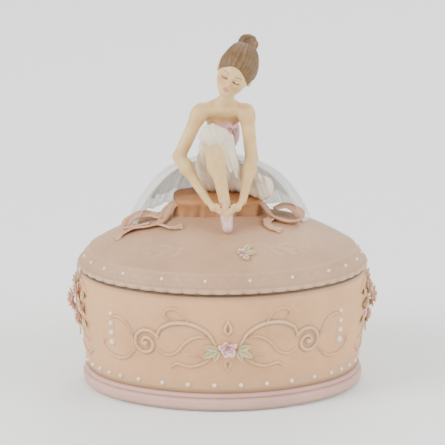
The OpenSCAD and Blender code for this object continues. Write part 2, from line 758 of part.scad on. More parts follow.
pin_rows = 3;
module pinned_cylinder() color("goldenrod") difference() {
    union() {
        translate([cylinder_x, 0, shaft_z])
            rotate([0, 90, 0])
                cylinder(r = cylinder_r, h = cylinder_l, $fn = 96);
        for (i = [0:comb_teeth - 1], k = [0:pin_rows - 1])
            translate([cylinder_x + 0.5 + (i + 0.5) * tooth_pitch, 0, shaft_z])
                rotate([120 * k + (i * 67) % 110 + 12, 0, 0])
                    translate([0, 0, cylinder_r - 0.3]) cylinder(r = 0.2, h = pin_h + 0.3, $fn = 16);
    }
    translate([cylinder_x - 1, 0, shaft_z])
        rotate([0, 90, 0])
            cylinder(r = shaft_r, h = cylinder_l + 2, $fn = 32);
}
module cylinder_pinion() color("goldenrod") across(crown_r - 1.3, 0, shaft_z, 2.6) difference() {
    gear(pinion_n, pinion_m, 1.25, 0.45, 90);
    circle(r = shaft_r, $fn = 32);
}
module cylinder_wheel() color("goldenrod") across(wheel_x, 0, shaft_z, wheel_t) difference() {
    gear(wheel_n, wheel_m, 0.52, 0.24, governor_angle);
    circle(r = shaft_r, $fn = 32);
}

module comb() color("lightsteelblue") difference() {
    union() {
        translate([cylinder_x + 0.5, -comb_tip - comb_reach - comb_plate, shaft_z - comb_t / 2])
            cube([cylinder_l - 1, comb_plate, comb_t]);
        for (i = [0:comb_teeth - 1])
            translate([
                cylinder_x + 0.5 + (i + 0.5) * tooth_pitch - tooth_w / 2,
                -comb_tip - comb_reach - 0.5,
                shaft_z - 0.25
            ])
                cube([tooth_w, comb_reach + 0.5, 0.5]);
    }
    comb_holes(0.9, shaft_z - 5, 10);
}
module comb_holes(r, z, h) for (x = [cylinder_x + 4, cylinder_x + cylinder_l - 4])
    translate([x, -comb_tip - comb_reach - comb_plate / 2, z]) cylinder(r = r, h = h, $fn = 32);
module comb_base() color("silver") difference() {
    translate([cylinder_x + 0.5, -comb_tip - comb_reach - comb_plate, bed_top])
        cube([cylinder_l - 1, comb_plate - 0.5, shaft_z - comb_t / 2 - bed_top]);
    comb_holes(0.75, bed_top + 1, 20);
}
module comb_screws() color("silver") {
    comb_holes(1.5, shaft_z + comb_t / 2, 0.9);
    comb_holes(0.7, shaft_z - 4, 4 + comb_t / 2);
}

module governor_wheel() color("goldenrod") {
    across(wheel_x, governor_y, governor_z, wheel_t)
        gear(governor_n, wheel_m, 0.5, 0.2, governor_angle + 180 + 180 / governor_n);
    across(worm_wheel_x, governor_y, governor_z, worm_wheel_t) gear(worm_wheel_n, worm_m, 0.5, 0.24, 0);
    translate([wheel_x - 0.4, governor_y, governor_z]) rotate([0, 90, 0])
        cylinder(r = governor_shaft_r, h = frame_x + bracket_t - wheel_x + 0.4, $fn = 24);
}
module governor_frame() color("silver") difference() {
    union() {
        bearing_plate(frame_x, 2, worm_y - 2.2, shaft_z + 0.6);
        translate([frame_x, 2, bed_top]) cube([post_x + bracket_t - frame_x, worm_y + 1, 1]);
        translate([post_x, worm_y - 3, bed_top]) cube([bracket_t, 6, bridge_z + 1.2 - bed_top]);
        translate([worm_x - 2, worm_y - 3, bridge_z]) cube([post_x + bracket_t - worm_x + 2, 6, 1.2]);
    }
    shaft_bore(frame_x, governor_y, governor_z, governor_shaft_r + run);
    translate([worm_x, worm_y, bed_top - 1]) cylinder(r = 0.45, h = 20, $fn = 24);
}
// The endless screw's section: one thread, a trapezium wave round the core
function worm_section_r(a) =
    let (s = abs(((a + 180) % 360) - 180) / 180)
    s < 0.16 ? worm_r + 0.3 : s < 0.36 ? worm_r + 0.3 - 3.5 * (s - 0.16) : worm_r - 0.4;
module air_brake() color("goldenrod") translate([worm_x, worm_y, 0]) {
    translate([0, 0, governor_z - worm_turns / 2 * worm_pitch]) rotate([0, 0, 90])
        linear_extrude(worm_turns * worm_pitch, twist = -360 * worm_turns, slices = 10 * worm_turns)
            polygon([for (i = [0:17]) worm_section_r(20 * i) * [cos(20 * i), sin(20 * i)]]);
    translate([0, 0, bed_z + 0.2]) cylinder(r = 0.4, h = bridge_z + 1 - bed_z, $fn = 24);
    translate([0, 0, fly_z]) cylinder(r = 0.9, h = fly_h, $fn = 24);
    for (s = [0, 180]) rotate([0, 0, s]) translate([0.6, -0.2, fly_z]) cube([fly_w - 0.6, 0.4, fly_h]);
}

// ---------- stop gear ----------

module rod_guide() color("ivory") translate([rod_x, rod_y, floor_bottom]) difference() {
    cylinder(r = guide_r, h = guide_h, $fn = 48);
    translate([0, 0, -1]) cylinder(r = rod_r + run, h = guide_h + 2, $fn = 32);
}
module stop_rod() color("silver") translate([rod_x, rod_y, 0]) {
    translate([0, 0, arm_z + arm_t + run]) cylinder(r = rod_r, h = rod_top - arm_z - arm_t - run, $fn = 32);
    translate([0, 0, arm_z + arm_t + run]) cylinder(r = flange_r, h = arm_t, $fn = 32);
    translate([0, 0, rod_top - 0.8]) cylinder(r = 1.8, h = 0.8, $fn = 32);
}
arm_end = [worm_x + 2.2, worm_y + 4.6];
module stop_arm() color("silver") hull() {
    translate([rod_x, rod_y, arm_z]) cylinder(r = flange_r - 0.2, h = arm_t, $fn = 24);
    translate([arm_end[0], arm_end[1], arm_z]) cylinder(r = 0.6, h = arm_t, $fn = 24);
}
spring_coils = 5;
coil_r = 1.25;
wire_r = 0.2;
module stop_spring() color("silver") {
    steps = 12 * spring_coils;
    sides = 6;
    z0 = floor_bottom + guide_h + wire_r + 0.05;
    z1 = rod_top - 0.8 - wire_r - 0.05;
    points = [for (i = [0:steps], k = [0:sides - 1])
        let (a = 30 * i, b = 360 * k / sides, r = coil_r + wire_r * cos(b))
        [rod_x + r * cos(a), rod_y + r * sin(a), z0 + (z1 - z0) * i / steps + wire_r * sin(b)]];
    skin = [for (i = [0:steps - 1], k = [0:sides - 1])
        let (n = (k + 1) % sides) each [[i * sides + k, (i + 1) * sides + k, i * sides + n],
            [(i + 1) * sides + k, (i + 1) * sides + n, i * sides + n]]];
    polyhedron(points = points, faces = concat(skin, [[for (k = [0:sides - 1]) k]],
        [[for (k = [sides - 1:-1:0]) steps * sides + k]]), convexity = 10);
}

plinth();
felt_ring();
bottom_cover();
cover_screws();
body_shell();
velvet_pad();
front_rose();
front_leaves();
end_bouquets();
body_pearls();
foot_pearls();
hinge_leaf_box();
hinge_leaf_lid();
hinge_pin();
hinge_screws_box();
hinge_screws_lid();
lid_shell();
lid_mirror();
mirror_bezel();
lid_pearls();
lid_rose();
lid_leaves();
seat();
sash_left();
sash_right();
ballerina_body();
ballerina_hair();
ballerina_bodice();
ballerina_slippers();
tulle_skirt();
bedplate();
movement_screws();
spring_drum();
mainspring();
winding_arbor();
crown_wheel();
winding_key();
cylinder_bracket();
end_bracket();
cylinder_shaft();
pinned_cylinder();
cylinder_pinion();
cylinder_wheel();
comb();
comb_base();
comb_screws();
governor_wheel();
governor_frame();
air_brake();
rod_guide();
stop_rod();
stop_arm();
stop_spring();
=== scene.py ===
"""Ballerina jewellery box: what shows of it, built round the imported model.

An oval cast box stands on a moulded plinth and carries a domed lid. A dancer sits on the lid on a
draped seat and ties her slipper. Every length in the classes is in millimetres, as a maker would
write it, and becomes metres where a mesh is made.
"""

import logging
import math
from dataclasses import dataclass, field
from enum import Enum
from typing import Any, Callable, Sequence

import bmesh
import bpy
import numpy as np
import openvdb
from mathutils import Euler, Matrix, Vector


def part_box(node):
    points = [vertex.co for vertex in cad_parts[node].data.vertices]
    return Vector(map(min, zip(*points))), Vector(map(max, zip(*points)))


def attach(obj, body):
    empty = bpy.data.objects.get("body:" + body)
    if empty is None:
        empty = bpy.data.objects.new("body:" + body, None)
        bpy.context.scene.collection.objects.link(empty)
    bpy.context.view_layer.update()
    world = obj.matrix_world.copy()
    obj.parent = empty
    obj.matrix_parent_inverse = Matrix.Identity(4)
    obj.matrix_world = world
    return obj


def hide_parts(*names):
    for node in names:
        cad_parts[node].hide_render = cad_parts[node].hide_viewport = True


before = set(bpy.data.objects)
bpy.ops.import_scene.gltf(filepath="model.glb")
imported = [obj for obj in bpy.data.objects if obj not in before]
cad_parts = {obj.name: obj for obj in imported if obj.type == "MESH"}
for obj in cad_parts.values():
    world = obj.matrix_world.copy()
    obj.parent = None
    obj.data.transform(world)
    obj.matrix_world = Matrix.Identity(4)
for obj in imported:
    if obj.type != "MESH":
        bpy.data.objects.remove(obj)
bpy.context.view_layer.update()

MM = 0.001
LOG = logging.getLogger("jewellery_box")
Array = np.ndarray
Point = tuple[float, float, float]
Colour = tuple[float, float, float]
Shape = tuple[Array, list[list[int]], Array]


# ---------- node trees written as expressions ----------


class Value:
    """One socket of a node tree, which takes part in Python arithmetic."""

    def __init__(self, graph: "Graph", socket: bpy.types.NodeSocket) -> None:
        """Wraps a socket.

        Args:
            graph: the tree that the socket is in.
            socket: an output socket.
        """
        self.graph = graph
        self.socket = socket

    def math(self, operation: str, *others: "Value | float") -> "Value":
        """Adds a Math node that starts with this value.

        Args:
            operation: the Math node's operation.
            others: its other inputs.

        Returns:
            the node's result.
        """
        return self.graph.math(operation, self, *others)

    def __add__(self, other: "Value | float") -> "Value":
        """self + other"""
        return self.math("ADD", other)

    def __sub__(self, other: "Value | float") -> "Value":
        """self - other"""
        return self.math("SUBTRACT", other)

    def __mul__(self, other: "Value | float") -> "Value":
        """self * other"""
        return self.math("MULTIPLY", other)

    def __truediv__(self, other: "Value | float") -> "Value":
        """self / other"""
        return self.math("DIVIDE", other)

    def __pow__(self, other: "Value | float") -> "Value":
        """self ** other"""
        return self.math("POWER", other)

    def __rsub__(self, other: float) -> "Value":
        """other - self"""
        return self.graph.math("SUBTRACT", other, self)

    def __rtruediv__(self, other: float) -> "Value":
        """other / self"""
        return self.graph.math("DIVIDE", other, self)

    __radd__ = __add__
    __rmul__ = __mul__

    def ramp(self, low: float, high: float) -> "Value":
        """Goes smoothly from 0 at low to 1 at high; low may be the higher of the two.

        Args:
            low: where the result is 0.
            high: where the result is 1.

        Returns:
            the eased value, from 0 to 1.
        """
        settings = {"interpolation_type": "SMOOTHSTEP", "clamp": True}
        if low < high:
            return self.graph.node("ShaderNodeMapRange", settings, {0: self, 1: low, 2: high})
        return 1.0 - self.graph.node("ShaderNodeMapRange", settings, {0: self, 1: high, 2: low})


class Graph:
    """A node tree, for a finish or for a shape that repeats."""

    def __init__(self, tree: bpy.types.NodeTree) -> None:
        """Starts from an empty tree.

        Args:
            tree: the tree to fill.
        """
        self.tree = tree
        tree.nodes.clear()

    def node(self, kind: str, settings: dict[str, Any] | None = None,
             inputs: dict[int | str, Any] | None = None, output: int | str = 0) -> Value:
        """Makes any node.

        Args:
            kind: the node's type.
            settings: its own settings, set first. "stops" is a colour ramp's list of (place, grey or colour).
            inputs: values or links of its sockets, by name or number.
            output: the output that is wanted.

        Returns:
            that output as a value.
        """
        made = self.tree.nodes.new(kind)
        for key, setting in (settings or {}).items():
            if key == "stops":
                ramp = made.color_ramp
                for _ in range(len(setting) - len(ramp.elements)):
                    ramp.elements.new(1.0)
                for element, (place, colour) in zip(ramp.elements, setting):
                    element.position = place
                    element.color = (*colour, 1.0) if isinstance(colour, tuple) else (colour,) * 3 + (1.0,)
            else:
                setattr(made, key, setting)
        for key, given in (inputs or {}).items():
            if isinstance(given, Value):
                self.tree.links.new(given.socket, made.inputs[key])
            else:
                made.inputs[key].default_value = given
        return Value(self, made.outputs[output])

    def math(self, operation: str, *given: Value | float) -> Value:
        """Adds a Math node on the given values."""
        return self.node("ShaderNodeMath", {"operation": operation}, dict(enumerate(given)))

    def vector(self, operation: str, *given: Any) -> Value:
        """Adds a Vector Math node on the given vectors."""
        return self.node("ShaderNodeVectorMath", {"operation": operation}, dict(enumerate(given)))

    def blend(self, share: Value | float, first: Any, second: Any) -> Value:
        """Mixes two colours: share 0 is first, 1 is second."""
        pair = {6: first if isinstance(first, Value) else (*first, 1.0),
                7: second if isinstance(second, Value) else (*second, 1.0)}
        return self.node("ShaderNodeMix", {"data_type": "RGBA"}, {0: share, **pair}, 2)

    def attribute(self, name: str) -> Value:
        """Reads a number that the mesh carries at its points, 0 where it carries none."""
        return self.node("ShaderNodeAttribute", {"attribute_name": name}, output="Fac")


def linear(red: int, green: int, blue: int) -> Colour:
    """Turns an everyday 0 to 255 colour into the linear one that shaders use."""
    parts = [c / 255 for c in (red, green, blue)]
    return tuple(c / 12.92 if c <= 0.04045 else ((c + 0.055) / 1.055) ** 2.4 for c in parts)  # type: ignore


def shade(colour: Colour, factor: float) -> Colour:
    """A colour made darker or paler by a factor, never over 1."""
    return tuple(min(1.0, c * factor) for c in colour)  # type: ignore


def noise(graph: Graph, place: Value, scale: float, detail: float, stretch: Point | None = None) -> Value:
    """Noise from 0 to 1.

    Args:
        graph: the tree.
        place: the point, in millimetres.
        scale: waves in a millimetre.
        detail: octaves.
        stretch: how much faster it changes along each axis.

    Returns:
        the noise.
    """
    if stretch:
        place = graph.vector("MULTIPLY", place, stretch)
    return graph.node("ShaderNodeTexNoise", {}, {"Vector": place, "Scale": scale, "Detail": detail})


# ---------- finishes ----------


CLOUD_START = 0.35
NET_WAYS = ((1.0, 0.0), (0.5, 0.866), (0.5, -0.866))


@dataclass(frozen=True)
class Finish:
    """What every finish has: a name, a gloss and the slot of the record that it belongs to."""

    name: str
    slot: str
    colour: Colour
    roughness: float = 0.6
    grain: float = 0.35
    constants: tuple[tuple[str, Any], ...] = ()

    def paint(self, graph: Graph, place: Value) -> tuple[Value, Value | None]:
        """The surface colour, and the height that bumps it, in millimetres.

        Args:
            graph: the material's tree.
            place: the point on the piece, in millimetres.

        Returns:
            colour and height; no height means no bump.
        """
        return self.clouded(graph, place, 0.06, 0.7, 0.86), noise(graph, place, 1.2, 2) * 0.05

    def clouded(self, graph: Graph, place: Value, scale: float, full: float, factor: float) -> Value:
        """The finish's colour, which drifts to another shade of itself in soft clouds.

        Args:
            graph: the material's tree.
            place: the point on the piece, in millimetres.
            scale: clouds in a millimetre.
            full: the noise, from 0 to 1, at which the other shade is full.
            factor: how bright the other shade is.

        Returns:
            the colour.
        """
        share = noise(graph, place, scale, 3).ramp(CLOUD_START, full)
        return graph.blend(share, self.colour, shade(self.colour, factor))

    def gloss(self, graph: Graph, place: Value) -> Value:
        """How the roughness wanders over the surface."""
        return noise(graph, place, 0.25, 2) * 0.12 + (self.roughness - 0.06)

    def build(self) -> bpy.types.Material:
        """Makes the material, once.

        Returns:
            the material that carries the finish.
        """
        found = bpy.data.materials.get(self.name)
        if found:
            return found
        material = bpy.data.materials.new(self.name)
        material.use_nodes = True
        graph = Graph(material.node_tree)
        place = graph.node("ShaderNodeTexCoord", output="Object")
        place = graph.vector("MULTIPLY", place, (1000.0, 1000.0, 1000.0))
        colour, height = self.paint(graph, place)
        sockets: dict[int | str, Any] = {"Base Color": colour, "Roughness": self.gloss(graph, place)}
        sockets.update(dict(self.constants))
        if height is not None:
            sockets["Normal"] = graph.node(
                "ShaderNodeBump", {}, {"Strength": self.grain, "Distance": MM, "Height": height}, "Normal")
        self.extra(graph, place, sockets)
        shader = graph.node("ShaderNodeBsdfPrincipled", {}, sockets)
        end = graph.tree.nodes.new("ShaderNodeOutputMaterial")
        graph.tree.links.new(shader.socket, end.inputs["Surface"])
        material.diffuse_color = (*self.colour, 1.0)
        return material

    def extra(self, graph: Graph, place: Value, sockets: dict[int | str, Any]) -> None:
        """Lets a finish add or change sockets before the shader is made."""


@dataclass(frozen=True)
class PlainPaint(Finish):
    """One even matt colour, for the studio floor."""

    def paint(self, graph: Graph, place: Value) -> tuple[Value, Value | None]:
        """The colour alone, with no bump."""
        return graph.blend(0.0, self.colour, self.colour), None

    def gloss(self, graph: Graph, place: Value) -> Value:
        """The same roughness everywhere."""
        return graph.math("ADD", self.roughness, 0.0)


@dataclass(frozen=True)
class CastPaint(Finish):
    """Satin paint on cast stone resin: painted shade in the hollows, a painted highlight on what stands up."""

    hollow_shade: Colour = (0.3, 0.22, 0.15)
    mottle_and_highlight: Colour = (0.8, 0.72, 0.62)
    # seam is the colour of a painted shadow line, in the gap under the lid's rim and at the wall's foot
    foot: Colour = (0.6, 0.5, 0.45)
    seam: Colour = (0.1, 0.06, 0.035)
    foot_from: float = -10.0
    foot_to: float = -5.0

    def paint(self, graph: Graph, place: Value) -> tuple[Value, Value | None]:
        """Clouds of two shades, painted shade in the piece's own hollows, and a pored skin."""
        base = self.clouded(graph, place, 0.05, 0.68, 0.88)
        height = graph.node("ShaderNodeSeparateXYZ", {}, {0: place}, "Z")
        base = graph.blend(height.ramp(self.foot_to, self.foot_from) * 0.75, base, self.foot)
        mottle = noise(graph, place, 0.35, 4)
        base = graph.blend(mottle.ramp(0.5, 0.8) * 0.14, base, self.mottle_and_highlight)
        # painted shade in the hollows
        base = graph.blend(graph.attribute("hollow") * 0.62, base, self.hollow_shade)
        # painted shadow line where the seam mark is
        base = graph.blend(graph.attribute("seam"), base, self.seam)
        # painted highlight on what stands up
        base = graph.blend(graph.attribute("raised") * 0.5, base, self.mottle_and_highlight)
        pores = noise(graph, place, 2.2, 3) * 0.03 + noise(graph, place, 0.5, 2) * 0.05
        return base, pores


@dataclass(frozen=True)
class PetalPaint(Finish):
    """Paint on roses and leaves, paler towards the lips of the petals."""

    lip: Colour = (0.9, 0.8, 0.78)

    def paint(self, graph: Graph, place: Value) -> tuple[Value, Value | None]:
        """Colour from the heart to the lip, with a brushed mottle."""
        mottle = noise(graph, place, 0.7, 3)
        base = graph.blend(mottle.ramp(0.3, 0.75), self.colour, shade(self.colour, 0.82))
        base = graph.blend(graph.attribute("raised").ramp(0.25, 1.0), base, self.lip)
        return base, mottle * 0.06 + noise(graph, place, 3.0, 2) * 0.02


@dataclass(frozen=True)
class PearlPaint(Finish):
    """Nacre: a pale bead with a painted rosy sheen at its edge."""

    # rim: the tint of the painted sheen at the edge, and of the clouds
    rim: Colour = (0.75, 0.5, 0.48)

    def paint(self, graph: Graph, place: Value) -> tuple[Value, Value | None]:
        """A painted rosy sheen where the bead turns away from the eye, with faint rosy clouds."""
        edge = graph.node("ShaderNodeLayerWeight", {}, {"Blend": 0.35}, "Facing")
        # painted sheen: rosier where the bead turns away from the eye
        base = graph.blend(edge.ramp(0.2, 0.95) * 0.7, self.colour, self.rim)
        cloud = noise(graph, place, 0.9, 2)
        return graph.blend(cloud.ramp(0.4, 0.8) * 0.3, base, self.rim), noise(graph, place, 2.5, 2) * 0.01


@dataclass(frozen=True)
class SkinPaint(Finish):
    """Flesh paint with warm painted shade in hollows, and the dancer's painted features where the mesh says."""

    # blush: the cheeks' paint, and the tint of the painted shade in the hollows
    blush: Colour = (0.6, 0.3, 0.22)
    line: Colour = (0.06, 0.035, 0.025)
    lips: Colour = (0.55, 0.17, 0.15)

    def paint(self, graph: Graph, place: Value) -> tuple[Value, Value | None]:
        """Two shades of flesh, then blush, lips and the dark lines of brows and lashes."""
        cloud = noise(graph, place, 0.18, 3)
        warm = tuple(c * k for c, k in zip(self.colour, (0.94, 0.84, 0.74)))
        base = graph.blend(cloud.ramp(0.35, 0.7), self.colour, warm)
        # painted shade in the hollows, in the blush colour
        base = graph.blend(graph.attribute("hollow") * 0.55, base, self.blush)
        base = graph.blend(graph.attribute("blush") * 0.45, base, self.blush)
        base = graph.blend(graph.attribute("lips"), base, self.lips)
        base = graph.blend(graph.attribute("line"), base, self.line)
        return base, noise(graph, place, 3.0, 3) * 0.015


@dataclass(frozen=True)
class HairPaint(Finish):
    """Brown hair, combed: painted shade makes the strands' hollows darker than their backs."""

    shade: Colour = (0.05, 0.03, 0.02)

    def paint(self, graph: Graph, place: Value) -> tuple[Value, Value | None]:
        """Strand by strand, with a few lighter locks."""
        strand = graph.attribute("strand")
        lock = noise(graph, place, 0.5, 3)
        base = graph.blend(lock.ramp(0.4, 0.7), self.colour, shade(self.colour, 1.35))
        # painted shade in the hollows between strands
        base = graph.blend((1.0 - strand) * 0.75, base, self.shade)
        return base, strand * 0.08 + noise(graph, place, 4.0, 2) * 0.04


@dataclass(frozen=True)
class ClothPaint(Finish):
    """A cast cloth painted to look woven: fine threads over clouded paint."""

    # hollow: the colour of the painted shade in the folds
    hollow: Colour = (0.4, 0.33, 0.33)
    thread: float = 1.6

    def paint(self, graph: Graph, place: Value) -> tuple[Value, Value | None]:
        """Painted shade in fold hollows, painted highlights on fold backs, a thread pattern in the skin."""
        base = self.clouded(graph, place, 0.15, 0.7, 0.85)
        # painted shade in the fold hollows
        base = graph.blend(graph.attribute("hollow") * 0.7, base, self.hollow)
        # painted highlight on the fold backs
        base = graph.blend(graph.attribute("raised") * 0.5, base, shade(self.colour, 1.12))
        turned = graph.node("ShaderNodeMapping", {}, {"Vector": place, "Rotation": (0.6, 0.5, 0.4)})
        weave = [graph.node("ShaderNodeTexWave", {"bands_direction": axis},
                            {"Vector": turned, "Scale": self.thread, "Distortion": 0.6}, "Fac")
                 for axis in ("X", "Z")]
        return base, (weave[0] + weave[1]) * 0.03 + noise(graph, place, 1.2, 3) * 0.05


@dataclass(frozen=True)
class NetPaint(Finish):
    """Tulle: threads that cross in small cells, clear between them."""

    cell: float = 0.55
    veil: float = 0.34
    thread: float = 0.8

    def extra(self, graph: Graph, place: Value, sockets: dict[int | str, Any]) -> None:
        """Makes the cells clear and the threads not, on the sheet's own flat coordinates."""
        flat = graph.node("ShaderNodeUVMap", {"uv_map": "flat"})
        split = [graph.node("ShaderNodeSeparateXYZ", {}, {0: flat}, axis) for axis in ("X", "Y")]
        lines = []
        for across, along in NET_WAYS:
            phase = (split[0] * across + split[1] * along) * (2 * math.pi / self.cell)
            lines.append(phase.math("COSINE").ramp(0.55, 0.98))
        net = lines[0].math("MAXIMUM", lines[1]).math("MAXIMUM", lines[2])
        cloud = noise(graph, place, 0.12, 3)
        hem = graph.attribute("raised")
        veil = cloud * 0.15 + graph.attribute("hollow") * 0.3 + (self.veil - 0.15)
        sockets["Alpha"] = (veil + net * (self.thread - self.veil)).math("MAXIMUM", hem * 0.8)


@dataclass(frozen=True)
class PilePaint(Finish):
    """Velvet or felt: a short pile that lies this way and that."""

    brushed: Colour = (0.5, 0.25, 0.28)
    fibre: float = 2.5

    def paint(self, graph: Graph, place: Value) -> tuple[Value, Value | None]:
        """Brushed patches and single fibres."""
        patch = noise(graph, place, 0.09, 2)
        fibre = noise(graph, place, self.fibre, 3, (1.0, 1.6, 0.6))
        base = graph.blend(patch.ramp(0.4, 0.65) * 0.6, self.colour, self.brushed)
        base = graph.blend(fibre.ramp(0.35, 0.65) * 0.5, base, shade(self.colour, 0.7))
        return base, fibre * 0.25 + patch * 0.1


@dataclass(frozen=True)
class Metal(Finish):
    """A turned, rolled or plated metal with fine lines and handling marks."""

    lines: Point = (1.0, 1.0, 8.0)
    dull: float = 0.15
    worn: float = 0.75

    def paint(self, graph: Graph, place: Value) -> tuple[Value, Value | None]:
        """Slightly clouded metal with lines along the way it was worked."""
        cloud = noise(graph, place, 0.2, 3)
        line = noise(graph, place, 1.5, 2, self.lines)
        return graph.blend(cloud.ramp(0.4, 0.8), self.colour, shade(self.colour, self.worn)), line * 0.02

    def gloss(self, graph: Graph, place: Value) -> Value:
        """Streaks and finger marks."""
        line = noise(graph, place, 1.5, 2, self.lines)
        smear = noise(graph, place, 0.12, 3)
        streaked = line * (0.6 * self.dull) + smear.ramp(0.4, 0.8) * self.dull
        return streaked + (self.roughness - 0.3 * self.dull)


METALLIC = (("Metallic", 1.0),)
SHEEN = (("Sheen Weight", 0.6), ("Sheen Roughness", 0.4))

CAST_BOX = CastPaint("box_paint", "cast_box", linear(216, 163, 118), 0.55,
                     hollow_shade=linear(134, 98, 68), mottle_and_highlight=linear(228, 198, 170), foot=linear(196, 156, 118),
                     foot_from=10.0, foot_to=17.0)
CAST_LID = CastPaint("lid_paint", "cast_lid", linear(188, 147, 116), 0.5,
                     hollow_shade=linear(132, 100, 76), mottle_and_highlight=linear(214, 188, 166))
CAST_PLINTH = CastPaint("plinth_paint", "cast_plinth", linear(208, 163, 150), 0.55,
                        hollow_shade=linear(150, 112, 100), mottle_and_highlight=linear(226, 203, 197))
ROSE_PINK = PetalPaint("rose_paint", "cast_rose", linear(244, 192, 192), 0.4, lip=linear(255, 236, 233))
ROSE_CREAM = PetalPaint("cream_rose_paint", "cast_rose", linear(230, 192, 170), 0.5,
                        lip=linear(244, 218, 200))
LEAF_GREEN = PetalPaint("leaf_paint", "cast_leaf", linear(172, 160, 116), 0.5, lip=linear(206, 192, 148))
PEARL = PearlPaint("pearl_paint", "pearl", linear(238, 224, 208), 0.22, rim=linear(206, 172, 160),
                   constants=(("Coat Weight", 0.6), ("Coat Roughness", 0.1)))
SKIN = SkinPaint("skin_paint", "skin", linear(219, 184, 130), 0.5, blush=linear(200, 124, 88))
HAIR = HairPaint("hair_paint", "hair", linear(120, 87, 46), 0.45, shade=linear(58, 38, 22))
DRESS = ClothPaint("dress_paint", "dress", linear(232, 214, 190), 0.5, hollow=linear(180, 150, 128))
BODICE = ClothPaint("bodice_paint", "dress", linear(204, 158, 158), 0.45, hollow=linear(150, 100, 108))
SLIPPER = ClothPaint("slipper_paint", "slipper", linear(216, 176, 168), 0.35, hollow=linear(168, 118, 112),
                     constants=SHEEN)
SEAT_DRAPE = ClothPaint("seat_paint", "drape", linear(176, 120, 74), 0.5, hollow=linear(98, 58, 32))
SASH = ClothPaint("sash_paint", "drape", linear(214, 168, 136), 0.5, hollow=linear(150, 98, 70))
TULLE = NetPaint("tulle_net", "tulle", linear(240, 238, 234), 0.8, grain=0.2, constants=SHEEN)
VELVET = PilePaint("velvet_pile", "velvet", linear(176, 96, 104), 0.9, brushed=linear(206, 132, 138),
                   constants=(("Sheen Weight", 1.0), ("Sheen Roughness", 0.3)))
FELT = PilePaint("felt_pile", "felt", linear(196, 176, 164), 0.95, brushed=linear(208, 190, 178))
MIRROR = Metal("mirror_glass", "mirror", linear(226, 230, 230), 0.03, 0.0, METALLIC,
               lines=(1.0, 1.0, 1.0), dull=0.02, worn=0.97)
GILT = Metal("gilt_plate", "gilt", linear(214, 176, 104), 0.3, 0.2, METALLIC)
BRASS = Metal("turned_brass", "brass", linear(196, 156, 86), 0.32, 0.2, METALLIC, (8.0, 1.0, 1.0))
STEEL = Metal("bright_steel", "steel", linear(188, 190, 192), 0.3, 0.2, METALLIC)
SPRING_STEEL = Metal("blued_steel", "spring_steel", linear(120, 124, 136), 0.28, 0.2, METALLIC)
BOARD = Finish("cover_board", "cover", linear(84, 74, 68), 0.7)
NYLON = Finish("guide_nylon", "plastic", linear(228, 224, 212), 0.45)
FLOOR = PlainPaint("studio_floor", "", linear(243, 245, 243), 0.9)


# ---------- meshes ----------


HARD_CREASE = 40.0
PETAL_CREASE = 60.0
CLAY_CREASE = 80.0
NO_CREASE = 180.0


def make_mesh(name: str, points: Array, faces: Sequence[Sequence[int]] | Array, crease: float = HARD_CREASE,
              marks: dict[str, Array] | None = None) -> bpy.types.Mesh:
    """Makes a smooth-shaded mesh from millimetres.

    Args:
        name: the mesh's name.
        points: its points, in millimetres.
        faces: its faces.
        crease: edges that bend more than this many degrees stay sharp.
        marks: numbers for each point that the finishes read.

    Returns:
        the mesh, in metres.
    """
    mesh = bpy.data.meshes.new(name)
    faces = faces.tolist() if isinstance(faces, np.ndarray) else [list(f) for f in faces]
    mesh.from_pydata((np.asarray(points, float).reshape(-1, 3) * MM).tolist(), [], faces)
    for key, numbers in (marks or {}).items():
        mark = mesh.attributes.new(key, "FLOAT", "POINT")
        mark.data.foreach_set("value", np.clip(np.asarray(numbers, float), 0, 1).ravel())
    mesh.shade_smooth()
    mesh.set_sharp_from_angle(angle=math.radians(crease))
    mesh.update()
    return mesh


def make_piece(name: str, mesh: bpy.types.Mesh, finish: Finish, body: str, *nodes: str) -> bpy.types.Object:
    """Puts a finished mesh in the scene as a piece.

    Args:
        name: the piece's name.
        mesh: its mesh, in place.
        finish: what it is painted with.
        body: the body that it moves with.
        nodes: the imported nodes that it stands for.

    Returns:
        the piece.
    """
    piece = bpy.data.objects.new(name, mesh)
    bpy.context.scene.collection.objects.link(piece)
    mesh.materials.clear()
    mesh.materials.append(finish.build())
    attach(piece, body)
    if nodes:
        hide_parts(*nodes)
    LOG.info("%s: %d faces on %s", name, len(mesh.polygons), body)
    return piece


def grid_faces(rows: int, columns: int, closed: bool = False, start: int = 0) -> list[list[int]]:
    """Faces of a grid whose points run row by row.

    Args:
        rows: how many rows of points.
        columns: how many points in a row.
        closed: whether each row joins its own start.
        start: number of the first point.

    Returns:
        four-sided faces.
    """
    row = np.arange(rows - 1)[:, None] * columns
    column = np.arange(columns if closed else columns - 1)[None, :]
    following = (column + 1) % columns
    faces = np.stack([row + column, row + following, row + columns + following, row + columns + column], -1)
    return (faces.reshape(-1, 4) + start).tolist()


def bridge(first: int, second: int, columns: int) -> list[list[int]]:
    """Faces between two closed rows of points, given the number of each row's first point."""
    following = [(i + 1) % columns for i in range(columns)]
    return [[first + i, first + k, second + k, second + i] for i, k in enumerate(following)]


def cap(first: int, columns: int, flip: bool = False) -> list[int]:
    """The one face that fills a closed row of points; flip turns it over."""
    return [first + i for i in range(columns)][::-1 if flip else 1]


def edge_of_grid(rows: int, columns: int) -> list[int]:
    """The points round the outside of a grid, in order."""
    return ([j for j in range(columns)]
            + [i * columns + columns - 1 for i in range(1, rows)]
            + [(rows - 1) * columns + j for j in range(columns - 2, -1, -1)]
            + [i * columns for i in range(rows - 2, 0, -1)])


